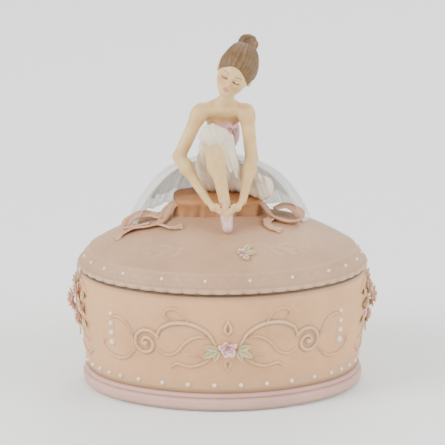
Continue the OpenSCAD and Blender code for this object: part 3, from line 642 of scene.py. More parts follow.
def join(parts: Sequence[Shape]) -> Shape:
    """Puts several shapes in one list of points and faces.

    Args:
        parts: points, faces and a mark for each point.

    Returns:
        points, faces and marks together.
    """
    faces, start = [], 0
    for shape, sides, _ in parts:
        faces += [[i + start for i in side] for side in sides]
        start += len(shape)
    return np.concatenate([part[0] for part in parts]), faces, np.concatenate([part[2] for part in parts])


def shape_piece(name: str, parts: Sequence[Shape], finish: Finish, body: str, *nodes: str,
                mark: str = "raised") -> None:
    """Joins shapes and puts them in the scene as one piece.

    Args:
        name: the piece's name.
        parts: its shapes.
        finish: what it is painted with.
        body: the body that it moves with.
        nodes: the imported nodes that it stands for.
        mark: the name under which the finish reads the shapes' marks.
    """
    points, faces, marks = join(parts)
    make_piece(name, make_mesh(name, points, faces, PETAL_CREASE, {mark: marks}), finish, body, *nodes)


@dataclass
class Stack:
    """Closed rows of points, one after another, and the marks of their points."""

    columns: int
    rings: list[Array] = field(default_factory=list)
    # marks: hollow for painted shade, raised for painted highlights, seam for a painted shadow line
    marks: dict[str, list[Array]] = field(default_factory=lambda: {"hollow": [], "raised": [], "seam": []})

    def add(self, ring: Array, **marks: Array | float) -> None:
        """Adds a row.

        Args:
            ring: its points.
            marks: its marks by name, for each point or for all; a mark left out is 0.
        """
        self.rings.append(ring)
        for key, rows in self.marks.items():
            rows.append(np.broadcast_to(marks.get(key, 0.0), (self.columns,)))

    def mesh(self, name: str, faces: list[list[int]], crease: float,
             ends: Array | None = None) -> bpy.types.Mesh:
        """Makes the mesh.

        Args:
            name: its name.
            faces: its faces.
            crease: edges that bend more than this many degrees stay sharp.
            ends: points that belong to no row and carry no marks.

        Returns:
            the mesh.
        """
        extra = np.zeros((0, 3)) if ends is None else ends
        marks = {key: np.concatenate(rows + [np.zeros(len(extra))]) for key, rows in self.marks.items()}
        return make_mesh(name, np.concatenate(self.rings + [extra]), faces, crease, marks)


def smooth_step(low: float, high: float, value: Array) -> Array:
    """0 below low, 1 above high, eased between."""
    share = np.clip((value - low) / (high - low), 0, 1)
    return share * share * (3 - 2 * share)


def curve_through(knots: Sequence[Sequence[float]], count: int) -> Array:
    """A smooth curve through points, by Catmull-Rom.

    Args:
        knots: the points.
        count: points in the result.

    Returns:
        the curve's points.
    """
    knots = np.asarray(knots, float)
    padded = np.vstack([2 * knots[0] - knots[1], knots, 2 * knots[-1] - knots[-2]])
    at = np.linspace(0, len(knots) - 1 - 1e-9, count)
    whole = at.astype(int)
    t = (at - whole)[:, None]
    a, b, c, d = (padded[whole + i] for i in range(4))
    return 0.5 * (2 * b + (c - a) * t + (2 * a - 5 * b + 4 * c - d) * t ** 2
                  + (3 * b - a - 3 * c + d) * t ** 3)


@dataclass(frozen=True)
class Oval:
    """The box's outline: four arcs that meet smoothly, on lines with a 3-4-5 slope."""

    half_w: float
    half_d: float
    end_half: float = 53.1301

    @property
    def end_shift(self) -> float:
        """How far the end arcs' centres stand to each side."""
        return 1.5 * (self.half_w - self.half_d)

    @property
    def side_shift(self) -> float:
        """How far the side arcs' centres stand behind and in front."""
        return 2 * (self.half_w - self.half_d)

    @property
    def end_radius(self) -> float:
        """Radius of the end arcs."""
        return self.half_w - self.end_shift

    @property
    def side_radius(self) -> float:
        """Radius of the long arcs."""
        return self.half_d + self.side_shift

    def turns(self, along: Array) -> Array:
        """Which way the outline faces, in degrees.

        Args:
            along: distance round the rim from the front's middle, towards +X, in millimetres.

        Returns:
            the turn for each distance.
        """
        side = self.side_radius * math.radians(90 - self.end_half)
        end = self.end_radius * math.radians(2 * self.end_half)
        stops = np.cumsum([0, side, end, 2 * side, end, side])
        facing = 270 + np.cumsum([0, 90 - self.end_half, 2 * self.end_half, 180 - 2 * self.end_half,
                                  2 * self.end_half, 90 - self.end_half])
        return np.interp(np.mod(along, stops[-1]), stops, facing)

    @property
    def length(self) -> float:
        """The way round the rim."""
        return 4 * (self.side_radius * math.radians(90 - self.end_half)
                    + self.end_radius * math.radians(self.end_half))

    def points(self, turn: Array, inset: Array) -> Array:
        """Points in the plane, for turns in degrees and insets from the rim, as (…, 2)."""
        turn = np.mod(np.asarray(turn, float) + 180, 360) - 180
        at_end = (np.abs(turn) <= self.end_half) | (np.abs(turn) >= 180 - self.end_half)
        centre_x = np.where(at_end, np.where(np.abs(turn) < 90, self.end_shift, -self.end_shift), 0.0)
        centre_y = np.where(at_end, 0.0, np.where(turn > 0, -self.side_shift, self.side_shift))
        radius = np.where(at_end, self.end_radius, self.side_radius) - inset
        angle = np.radians(turn)
        return np.stack([centre_x + radius * np.cos(angle), centre_y + radius * np.sin(angle)], -1)

    def inset_of(self, x: float, y: float) -> float:
        """How far inside the rim a point lies."""
        if abs(x) * 4 > abs(y) * 3 + self.end_shift * 4 or abs(x) > self.end_shift + 0.75 * abs(y):
            return self.end_radius - math.hypot(abs(x) - self.end_shift, y)
        return self.side_radius - math.hypot(x, abs(y) + self.side_shift)


@dataclass
class Relief:
    """Raised drawing on a surface that is laid out flat: strokes with round backs and thin ends."""

    taper: float = 0.45
    count: int = 40
    strokes: list[tuple[Array, Array, float]] = field(default_factory=list)

    def stroke(self, knots: Sequence[Sequence[float]] | Array, width: float, height: float) -> None:
        """Adds a stroke and its mirror image.

        Args:
            knots: points of its middle line, on the flat.
            width: half its width at the middle.
            height: how far it stands up.
        """
        line = curve_through(knots, self.count)
        fullness = np.sin(np.linspace(0, math.pi, self.count)) ** 0.6
        widths = width * (self.taper + (1 - self.taper) * fullness)
        for side in (1, -1):
            self.strokes.append((line * (side, 1), widths, height))

    def volute(self, centre: tuple[float, float], start: float, size: float, winds: float, width: float,
               height: float) -> None:
        """Adds a curl that winds inwards, and its mirror image.

        Args:
            centre: the curl's eye.
            start: angle of its outer end, in degrees.
            size: radius of the outer end.
            winds: how many times it goes round; negative is clockwise.
            width: half its width.
            height: how far it stands up.
        """
        share = np.linspace(0, 1, 60)
        angle = math.radians(start) + 2 * math.pi * winds * share
        radius = size * (1 - share) ** 0.9 + 0.35
        line = np.stack([centre[0] + radius * np.cos(angle), centre[1] + radius * np.sin(angle)], -1)
        for side in (1, -1):
            self.strokes.append((line * (side, 1), np.full(60, width), height))
            eye = np.array([centre, centre]) * (side, 1)
            self.strokes.append((eye, np.full(2, width * 1.5), height * 1.2))

    def heights(self, flat: Array) -> Array:
        """How far the surface stands up at each of the flat points, as (n, 2) in and (n,) out."""
        result = np.zeros(len(flat))
        for line, widths, height in self.strokes:
            reach = widths.max() + 0.1
            near = np.flatnonzero(((flat > line.min(0) - reach) & (flat < line.max(0) + reach)).all(1))
            if not len(near):
                continue
            best = np.zeros(len(near))
            for a, b, wa, wb in zip(line[:-1], line[1:], widths[:-1], widths[1:]):
                step = b - a
                share = np.clip((flat[near] - a) @ step / max(step @ step, 1e-9), 0, 1)
                away = np.linalg.norm(flat[near] - a - share[:, None] * step, axis=1)
                best = np.maximum(best, 1 - (away / (wa + (wb - wa) * share)) ** 2)
            result[near] = np.maximum(result[near], height * np.sqrt(np.clip(best, 0, 1)))
        return result


class Repeat:
    """A geometry-node tree that repeats a shape, used once and turned into a plain mesh."""

    def __init__(self, name: str, **sizes: float | int) -> None:
        """Starts a tree.

        Args:
            name: the tree's name.
            sizes: its named inputs and their values; whole numbers become whole-number inputs.
        """
        self.tree = bpy.data.node_groups.new(name, "GeometryNodeTree")
        self.graph = Graph(self.tree)
        face = self.tree.interface
        face.new_socket("Carrier", in_out="INPUT", socket_type="NodeSocketGeometry")
        for key, size in sizes.items():
            kind = "NodeSocketInt" if isinstance(size, int) else "NodeSocketFloat"
            face.new_socket(key, in_out="INPUT", socket_type=kind)
        face.new_socket("Made", in_out="OUTPUT", socket_type="NodeSocketGeometry")
        self.sizes = sizes
        self.entry = self.tree.nodes.new("NodeGroupInput")
        self.carrier = Value(self.graph, self.entry.outputs["Carrier"])

    def __getitem__(self, key: str) -> Value:
        """A named input as a value."""
        return Value(self.graph, self.entry.outputs[key])

    def make(self, made: Value, carrier: bpy.types.Mesh, finish: Finish) -> bpy.types.Mesh:
        """Ends the tree, runs it on a carrier mesh and gives the plain result.

        Args:
            made: the instances that the tree ends with.
            carrier: the mesh that goes in.
            finish: what the result is painted with.

        Returns:
            the plain mesh.
        """
        node = self.graph.node
        real = node("GeometryNodeRealizeInstances", {}, {"Geometry": made})
        smooth = node("GeometryNodeSetShadeSmooth", {}, {"Geometry": real})
        painted = node("GeometryNodeSetMaterial", {}, {"Geometry": smooth, "Material": finish.build()})
        end = self.tree.nodes.new("NodeGroupOutput")
        self.tree.links.new(painted.socket, end.inputs["Made"])
        holder = bpy.data.objects.new(self.tree.name, carrier)
        bpy.context.scene.collection.objects.link(holder)
        modifier = holder.modifiers.new("repeat", "NODES")
        modifier.node_group = self.tree
        names = {item.name: item.identifier for item in self.tree.interface.items_tree
                 if item.in_out == "INPUT"}
        for key, size in self.sizes.items():
            modifier[names[key]] = size
        graph = bpy.context.evaluated_depsgraph_get()
        result = bpy.data.meshes.new_from_object(holder.evaluated_get(graph), depsgraph=graph)
        holder.modifiers.remove(modifier)
        bpy.data.objects.remove(holder)
        result.name = self.tree.name
        return result


def beads(name: str, centres: Array, radius: float, finish: Finish) -> bpy.types.Mesh:
    """A bead at each centre.

    Args:
        name: the tree's name.
        centres: the beads' centres, in millimetres.
        radius: their radius.
        finish: what they are painted with.

    Returns:
        one plain mesh.
    """
    repeat = Repeat(name, Radius=radius * MM)
    bead = repeat.graph.node("GeometryNodeMeshIcoSphere", {},
                             {"Radius": repeat["Radius"], "Subdivisions": 3}, "Mesh")
    spread = repeat.graph.node("GeometryNodeInstanceOnPoints", {},
                               {"Points": repeat.carrier, "Instance": bead})
    return repeat.make(spread, make_mesh(name + "_places", centres, []), finish)


# ---------- roses and leaves ----------


@dataclass
class RoseMaker:
    """Full-blown roses: cupped petals set round a bud on a spiral."""

    petals: int = 15
    spiral: float = 137.5
    rows: int = 6
    columns: int = 7

    def petal(self) -> bpy.types.Mesh:
        """One cupped petal of unit size, standing up from the origin, its outside towards -Y."""
        points, marks = [], []
        for side in (-1, 1):
            for i in range(self.rows):
                t = i / (self.rows - 1)
                for j in range(self.columns):
                    u = 2 * j / (self.columns - 1) - 1
                    wide = 0.5 * math.sin(math.pi * (0.16 + 0.66 * t)) ** 0.7
                    curl = 0.34 * max(0.0, t - 0.62) ** 1.3 * 2.2
                    cup = 0.3 * u * u * (1 - 0.3 * t) - 0.18 * math.sin(math.pi * t * 0.8) - curl
                    top = t * (1 - 0.13 * u * u)
                    points.append((wide * u, cup + side * 0.022, top))
                    marks.append(t ** 2.5)
        half = self.rows * self.columns
        front = grid_faces(self.rows, self.columns)
        faces = front + [[i + half for i in face[::-1]] for face in front]
        edge = edge_of_grid(self.rows, self.columns)
        faces += [[a, a + half, b + half, b] for a, b in zip(edge, edge[1:] + edge[:1])]
        mesh = make_mesh("petal", np.array(points) / MM, faces, PETAL_CREASE, {"raised": np.array(marks)})
        fixed = bmesh.new()
        fixed.from_mesh(mesh)
        bmesh.ops.recalc_face_normals(fixed, faces=fixed.faces)
        fixed.to_mesh(mesh)
        fixed.free()
        return mesh

    def unit_rose(self) -> Shape:
        """A rose of radius 1 with its back on z = 0, as points, faces and petal marks."""
        repeat = Repeat("rose_petals", Petals=self.petals, Spiral=math.radians(self.spiral), Spread=0.52)
        graph = repeat.graph
        line = graph.node("GeometryNodeMeshLine", {}, {"Count": repeat["Petals"]}, "Mesh")
        index = graph.node("GeometryNodeInputIndex")
        share = index / (repeat["Petals"] - 1.0)
        turn = index * repeat["Spiral"]
        out = share ** 0.8 * repeat["Spread"]
        place = graph.node("ShaderNodeCombineXYZ", {}, {
            0: out * turn.math("SINE"), 1: out * turn.math("COSINE") * -1.0, 2: 0.22 - share * 0.16})
        moved = graph.node("GeometryNodeSetPosition", {}, {"Geometry": line, "Position": place})
        lean = graph.node("ShaderNodeCombineXYZ", {}, {0: share ** 1.2 * 1.25 + 0.06, 1: 0.0, 2: turn})
        size = share ** 0.6 * 0.42 + 0.34
        grow = graph.node("ShaderNodeCombineXYZ", {}, {0: size * 1.25, 1: size, 2: size * 1.1})
        placed = graph.node("GeometryNodeInstanceOnPoints", {}, {
            "Points": moved, "Instance": repeat.carrier, "Rotation": lean, "Scale": grow})
        mesh = repeat.make(placed, self.petal(), ROSE_PINK)
        points = np.zeros(len(mesh.vertices) * 3)
        mesh.vertices.foreach_get("co", points)
        marks = np.zeros(len(mesh.vertices))
        mesh.attributes["raised"].data.foreach_get("value", marks)
        faces = [list(p.vertices) for p in mesh.polygons]
        points = points.reshape(-1, 3)
        points /= np.hypot(points[:, 0], points[:, 1]).max()
        return points, faces, marks

    def leaf(self, length: float, width: float) -> Shape:
        """A pointed leaf from the origin along +X, back on z = 0, with a midrib and side veins."""
        rows, columns = 13, 9
        points, marks = [], []
        for back in (0, 1):
            for i in range(rows):
                t = i / (rows - 1)
                for j in range(columns):
                    u = 2 * j / (columns - 1) - 1
                    half = width / 2 * math.sin(math.pi * min(1, t * 0.98 + 0.02)) ** 0.8 * (1.15 - 0.4 * t)
                    vein = 0.1 * math.cos((t * 5 - abs(u) * 1.2) * 2 * math.pi) * (1 - abs(u))
                    lift = 0.35 + 0.5 * abs(u) ** 1.5 * (1 - t * 0.6) + vein + 0.8 * t * t
                    points.append((length * t, half * u, 0.6 * t * t if back else lift))
                    marks.append(0.3 + 0.7 * abs(u))
        half = rows * columns
        top = grid_faces(rows, columns)
        edge = edge_of_grid(rows, columns)
        faces = [f[::-1] for f in top] + [[i + half for i in f] for f in top]
        faces += [[a, b, b + half, a + half] for a, b in zip(edge, edge[1:] + edge[:1])]
        return np.array(points), faces, np.array(marks)


def placed(shape: Shape, place: Matrix, size: float = 1.0, height: float | None = None) -> Shape:
    """A copy of a shape, scaled and then put in place.

    Args:
        shape: points, faces and marks.
        place: where it goes, in millimetres.
        size: its scale.
        height: its scale along its own Z, if different.

    Returns:
        the copy.
    """
    points = shape[0] * (size, size, size if height is None else height)
    turned = points @ np.array(place.to_3x3()).T + np.array(place.translation)
    return turned, shape[1], shape[2]


# ---------- box, plinth and lid ----------


class BoxPart(Enum):
    """The castings that are swept round the oval."""

    WALL = "box_wall"
    LID = "lid_dome"
    PLINTH = "plinth_moulding"


@dataclass
class Casket:
    """The cast box: wall with scrolls, plinth, felt, velvet pad, roses and pearls."""

    oval: Oval
    plinth_top: float
    parting: float
    floor_top: float
    floor_bottom: float
    felt_top: float
    foot_inset: float = 4.2
    top_inset: float = 1.6
    wall_inset: float = 8.0
    cavity_inset: float = 11.0
    rose_z: float = 29.5
    cluster_z: float = 38.0
    hinge_half: float = 13.3
    leaf_bed: float = 0.8
    edge_r: float = 0.35
    pearl_turn: float = 44.0
    pearl_step: float = 4.4
    foot_pearls: int = 40

    def inset_at(self, share: Array) -> Array:
        """How far the wall stands inside the rim, by its share of height."""
        share = np.clip(share, 0, 1)
        return self.foot_inset * (1 - share) ** 1.6 + self.top_inset * share ** 6

    def scrolls(self) -> Relief:
        """The scrollwork, drawn on the wall laid flat: distance from the front's middle, and height."""
        relief = Relief()
        relief.volute((37.5, self.rose_z + 0.5), 150, 6.2, -1.7, 0.75, 0.95)
        relief.stroke([(5.5, 31), (9, 36.5), (16, 40.2), (24, 40.4), (30, 37.6), (32.2, 33.4)], 0.85, 0.95)
        relief.stroke([(9.5, 34.5), (14, 34.4), (19, 31.6), (23, 27), (28, 25.4), (32.5, 28)], 0.6, 0.7)
        relief.stroke([(17, 40.2), (20, 45), (25, 46.8), (28.4, 44.8), (27.2, 42.4), (25.4, 43.2)], 0.5, 0.65)
        relief.stroke([(6, 26.5), (11, 22.4), (17, 20.6), (23, 21.6), (26, 19.4)], 0.65, 0.7)
        relief.stroke([(11, 22.6), (14, 26), (18.6, 26)], 0.5, 0.55)
        relief.stroke([(44, 32), (47, 37.5), (52, 40), (57, 38.6)], 0.6, 0.7)
        relief.stroke([(43, 26), (48, 21.6), (54, 20.6), (60, 22.4), (62, 26.4), (59.4, 28.4)], 0.6, 0.7)
        relief.stroke([(0, 35.6), (1.4, 38), (0, 42.2)], 0.7, 0.8)
        relief.stroke([(0, 24.2), (1.2, 22), (0, 18.6)], 0.55, 0.6)
        end = self.oval.length / 4
        for knots in ([(20, 45), (13, 49), (8, 50)], [(22, 20), (15, 16.5), (8, 17.5), (3, 20)],
                      [(20, 24), (13, 23), (11, 28), (14.5, 31)]):
            for side in (-1, 1):
                relief.stroke(np.array(knots, float) * (side, 1) + (end, 0), 0.65, 0.75)
        return relief

    def drawn(self, along: Array, height: Array) -> Array:
        """The scrollwork's height at points of the wall, alike on the front and the back."""
        half = self.oval.length / 2
        near = np.mod(along + half / 2, half) - half / 2
        return self.scrolls().heights(np.stack([near.ravel(), height.ravel()], -1)).reshape(along.shape)

    def swell(self, turn: Array, height: Array) -> Array:
        """How far the wall swells under the rose clusters at both ends."""
        return (1.8 * np.exp(-(np.sin(np.radians(turn)) / 0.3) ** 2)
                * np.exp(-((height - self.cluster_z) / 8.5) ** 2))

    def hinge_bed(self, ring: Array, turn: Array) -> Array:
        """How deep each point of a ring is let in for the hinge's leaf."""
        behind = np.sin(np.radians(turn)) > 0
        return np.where((np.abs(ring[:, 0]) < self.hinge_half) & behind, self.leaf_bed, 0)

    def outside(self, stack: Stack, along: Array, turn: Array, rows: int) -> None:
        """Adds the outer wall with its scrollwork, from the foot up to the rim.

        Args:
            stack: what the rows are added to.
            along: distance round the rim of each column, from the front's middle.
            turn: which way each column faces, in degrees.
            rows: how many rows.
        """
        share = np.linspace(0, 1, rows)
        z = self.plinth_top + (self.parting - self.plinth_top) * share
        height = self.drawn(*np.broadcast_arrays(along[None, :], z[:, None]))
        height *= (smooth_step(0, 0.06, share) * smooth_step(0, 0.05, 1 - share))[:, None]
        inset = self.inset_at(share)[:, None] - height - self.swell(turn[None, :], z[:, None])
        soft = self.blur(height)
        # foot and rim: painted shade at the wall's foot and under the lid's overhanging rim
        foot, rim = smooth_step(0.06, 0.015, share), smooth_step(0.93, 0.96, share)
        # seam: a painted shadow in the gap under the lid's rim, and a fainter one at the foot
        seam = np.maximum(smooth_step(0.965, 0.98, share), 0.5 * smooth_step(0.02, 0.0, share))
        for k in range(rows):
            drop = self.edge_r if k == rows - 1 else 0
            # painted shade by the relief, at the foot and under the rim; painted highlight on the relief
            hollow = smooth_step(0.08, 0.45, soft[k] - height[k]) + foot[k] + 0.6 * rim[k]
            stack.add(self.ring(turn, inset[k], z[k] - drop), hollow=hollow,
                      raised=smooth_step(0.3, 0.9, height[k]), seam=seam[k])

    def wall(self) -> bpy.types.Mesh:
        """The whole casting: outer wall, rim, compartment, its floor, and the hollow below."""
        columns, rows = 760, 96
        along = np.arange(columns) * self.oval.length / columns
        turn = self.oval.turns(along)
        stack = Stack(columns)
        stack.add(self.ring(turn, self.foot_inset + 0.3, self.plinth_top))
        self.outside(stack, along, turn, rows)
        bed = self.hinge_bed(self.oval.points(turn, 4.0), turn)
        stack.rings[rows][:, 2] -= bed
        edge = self.edge_r
        # hollow marks below are painted shade: faint on the rim, deeper down the compartment and under it
        for inset, z in [(self.top_inset + edge, self.parting), (4.0, self.parting), (7.2, self.parting)]:
            ring = self.ring(turn, inset, z)
            ring[:, 2] -= bed
            stack.add(ring, hollow=0.1)
        for inset, z, hollow in [(self.wall_inset - edge, self.parting, 0.1),
                                 (self.wall_inset, self.parting - edge, 0.1),
                                 (self.wall_inset, self.floor_top + 1, 0.5),
                                 (self.wall_inset + 0.6, self.floor_top, 0.5)]:
            stack.add(self.ring(turn, inset, z), hollow=hollow)
        top_count = len(stack.rings)
        for inset, z in [(self.cavity_inset, self.floor_bottom), (self.cavity_inset, self.plinth_top + 0.3),
                         (self.cavity_inset - 0.3, self.plinth_top)]:
            stack.add(self.ring(turn, inset, z), hollow=0.3)
        under_count = len(stack.rings) - top_count
        faces = grid_faces(top_count, columns, True)
        faces.append(cap((top_count - 1) * columns, columns))
        faces.append(cap(top_count * columns, columns, flip=True))
        faces += grid_faces(under_count, columns, True, top_count * columns)
        faces += bridge((len(stack.rings) - 1) * columns, 0, columns)
        return stack.mesh(BoxPart.WALL.value, faces, 38)

    @staticmethod
    def blur(height: Array) -> Array:
        """The relief with its edges softened, to find the hollows beside it."""
        for _ in range(4):
            height = (np.roll(height, 1, 1) + np.roll(height, -1, 1) + height) / 3
            height[1:-1] = (height[:-2] + height[1:-1] + height[2:]) / 3
        return height * 1.6

    def ring(self, turn: Array, inset: Array | float, z: Array | float) -> Array:
        """One ring of points round the oval."""
        flat = self.oval.points(turn, np.broadcast_to(inset, turn.shape))
        return np.column_stack([flat, np.broadcast_to(z, turn.shape)])

    def swept(self, name: str, profile: Sequence[tuple[float, float]], columns: int,
              hollows: Sequence[float] | None = None) -> bpy.types.Mesh:
        """A closed ring with the given section of (inset, z) points, in order up the outside."""
        turn = self.oval.turns(np.arange(columns) * self.oval.length / columns)
        points = np.concatenate([self.ring(turn, i, z) for i, z in profile])
        faces = grid_faces(len(profile), columns, True)
        faces += bridge((len(profile) - 1) * columns, 0, columns)
        marks = {"hollow": np.repeat(hollows, columns)} if hollows is not None else None
        return make_mesh(name, points, faces, HARD_CREASE, marks)

    def plinth(self) -> bpy.types.Mesh:
        """A moulded foot: a fillet, a round bead, a cove and a step up to the wall."""
        top, low = self.plinth_top, self.felt_top
        outer = [(3.7, low), (3.0, low + 0.15), (2.55, low + 0.6), (2.3, low + 1.2), (2.12, low + 2.0),
                 (2.1, low + 3.0), (2.14, low + 3.7), (2.35, low + 4.3), (2.75, low + 4.7), (3.2, low + 4.9),
                 (3.35, low + 5.15), (3.2, low + 5.4), (2.98, low + 5.75), (2.95, low + 6.2), (3.1, low + 6.6),
                 (3.4, low + 6.9), (3.8, top), (4.6, top)]
        # painted shade at the lower edge, in the cove, at the step up to the wall and inside
        hollows = [0.6, 0.4, 0.2, 0, 0, 0, 0, 0, 0.2, 0.7, 0.9, 0.6, 0, 0, 0.1, 0.3, 0.5, 0.8]
        inner = [(self.cavity_inset + 0.5, top), (self.cavity_inset + 0.5, 4.6), (self.wall_inset, 4.6),
                 (self.wall_inset, low)]
        return self.swept(BoxPart.PLINTH.value, outer + inner, 360, hollows + [0.3] * 4)

    def on_wall(self, turn: float, z: float, gap: float = 0.1) -> Matrix:
        """A place on the wall: its Z points out of the wall and its X points down it."""
        share = (z - self.plinth_top) / (self.parting - self.plinth_top)
        fall = self.inset_at(np.array([share - 0.02]))[0] - self.inset_at(np.array([share + 0.02]))[0]
        lean = math.atan(fall / (0.04 * (self.parting - self.plinth_top)))
        inset = self.inset_at(np.array([share])) - self.swell(np.array([turn]), np.array([z])) - gap
        x, y = self.oval.points(np.array([turn]), inset)[0]
        turned = Euler((0, math.pi / 2 + lean, math.radians(turn))).to_matrix().to_4x4()
        return Matrix.Translation((x, y, z)) @ turned

    def build(self, roses: RoseMaker) -> None:
        """Makes every piece of the box.

        Args:
            roses: who makes its roses and leaves.
        """
        make_piece("box_wall", self.wall(), CAST_BOX, "box", "body_shell")
        make_piece("plinth_moulding", self.plinth(), CAST_PLINTH, "box", "plinth")
        self.felt()
        self.pad()
        unit = roses.unit_rose()
        bloom = placed(unit, self.on_wall(270, self.rose_z), 4.6)
        shape_piece("front_rose_petals", [bloom], ROSE_PINK, "box", "front_rose")
        leaves = []
        for side in (-1, 1):
            at = self.on_wall(270 + side * 3.1, self.rose_z - 0.5)
            for angle, length, width in ((62, 8.0, 3.2), (105, 6.6, 2.8), (20, 6.0, 2.6)):
                turned = at @ Matrix.Rotation(math.radians(side * angle), 4, "Z")
                leaves.append(placed(roses.leaf(length, width), turned))
        shape_piece("front_leaf_spray", leaves, LEAF_GREEN, "box", "front_leaves")
        self.bouquets(unit, roses)
        self.pearls()

    def bouquets(self, unit: Shape, roses: RoseMaker) -> None:
        """The rose clusters at both ends, with leaves between."""
        blooms, leaves = [], []
        for end in (0, 180):
            blooms.append(placed(unit, self.on_wall(end, self.cluster_z), 6.8, 7.4))
            for side in (-1, 1):
                for turn, high, size, depth in ((9.5, 6.4, 4.8, 5.6), (9.5, -6.6, 4.8, 5.4),
                                                (18, 0, 3.6, 4.0)):
                    at = self.on_wall(end + turn * side, self.cluster_z + high)
                    blooms.append(placed(unit, at, size, depth))
                for high, turn, angle in ((9, 5, 150), (-9.5, 5, 40), (1, 11, 90), (5, 16, 110), (-6, 16, 70)):
                    at = (self.on_wall(end + turn * side, self.cluster_z + high, 0.05)
                          @ Matrix.Rotation(math.radians(side * angle), 4, "Z"))
                    leaves.append(placed(roses.leaf(6.5, 2.8), at))
        shape_piece("end_rose_clusters", blooms, ROSE_CREAM, "box", "end_bouquets")
        shape_piece("end_leaves", leaves, LEAF_GREEN, "box")

    def pearls(self) -> None:
        """The pearl rows on the wall and round its foot."""
        for number in range(4):
            centres = [self.on_wall(side + turn, self.rose_z - 2 + self.pearl_step * number).translation
                       for side in (90, 270) for turn in (-self.pearl_turn, self.pearl_turn)]
            mesh = beads(f"wall_pearls_{number}", np.array(centres), 1.5 - 0.15 * number, PEARL)
            make_piece(f"wall_pearls_{number}", mesh, PEARL, "box", *(["body_pearls"] if number == 0 else []))
        centres = np.array([self.on_wall((i + 0.5) * 360 / self.foot_pearls, self.plinth_top + 4).translation
                            for i in range(self.foot_pearls)])
        row = beads("foot_pearl_row", centres, 1.0, PEARL)
        make_piece("foot_pearl_row", row, PEARL, "box", "foot_pearls")

    def felt(self) -> None:
        """The felt ring under the plinth."""
        middle, top = self.felt_top / 2, self.felt_top
        section = [(7.5, 0.0), (4.0, 0.0), (3.92, middle), (4.0, top), (7.5, top), (7.58, middle)]
        piece = make_piece("felt_foot", self.swept("felt_foot", section, 360), FELT, "box", "felt_ring")

    def pad(self) -> None:
        """The velvet pad on the compartment's floor: a soft edge, and a top that swells a little."""
        low, high = self.floor_top + 0.02, self.floor_top + 1.5
        columns, steps, top_inset = 240, 26, 9.6
        turn = self.oval.turns(np.arange(columns) * self.oval.length / columns)
        section = [(8.7, low), (8.35, low + 0.4), (8.35, high - 0.75), (8.7, high - 0.25), (top_inset, high)]
        rings = [self.ring(turn, inset, z) for inset, z in section]
        edge = self.ring(turn, top_inset, high)
        grid = np.random.default_rng(5).normal(0, 1, (6, 12))
        angle = np.radians(turn)
        ripple = sum(grid[k, k] * np.sin((k + 1) * angle + grid[k, k + 1] * 3) for k in range(4))
        for step in range(1, steps):
            share = 1 - step / steps
            ring = edge * (share, share, 1)
            ring[:, 2] += 0.28 * (1 - share ** 3) + 0.05 * share * ripple * math.sin(math.pi * share)
            rings.append(ring)
        faces = grid_faces(len(rings), columns, True)
        faces += [cap((len(rings) - 1) * columns, columns), cap(0, columns, flip=True)]
        mesh = make_mesh("velvet_cushion", np.concatenate(rings), faces, PETAL_CREASE)
        make_piece("velvet_cushion", mesh, VELVET, "box", "velvet_pad")


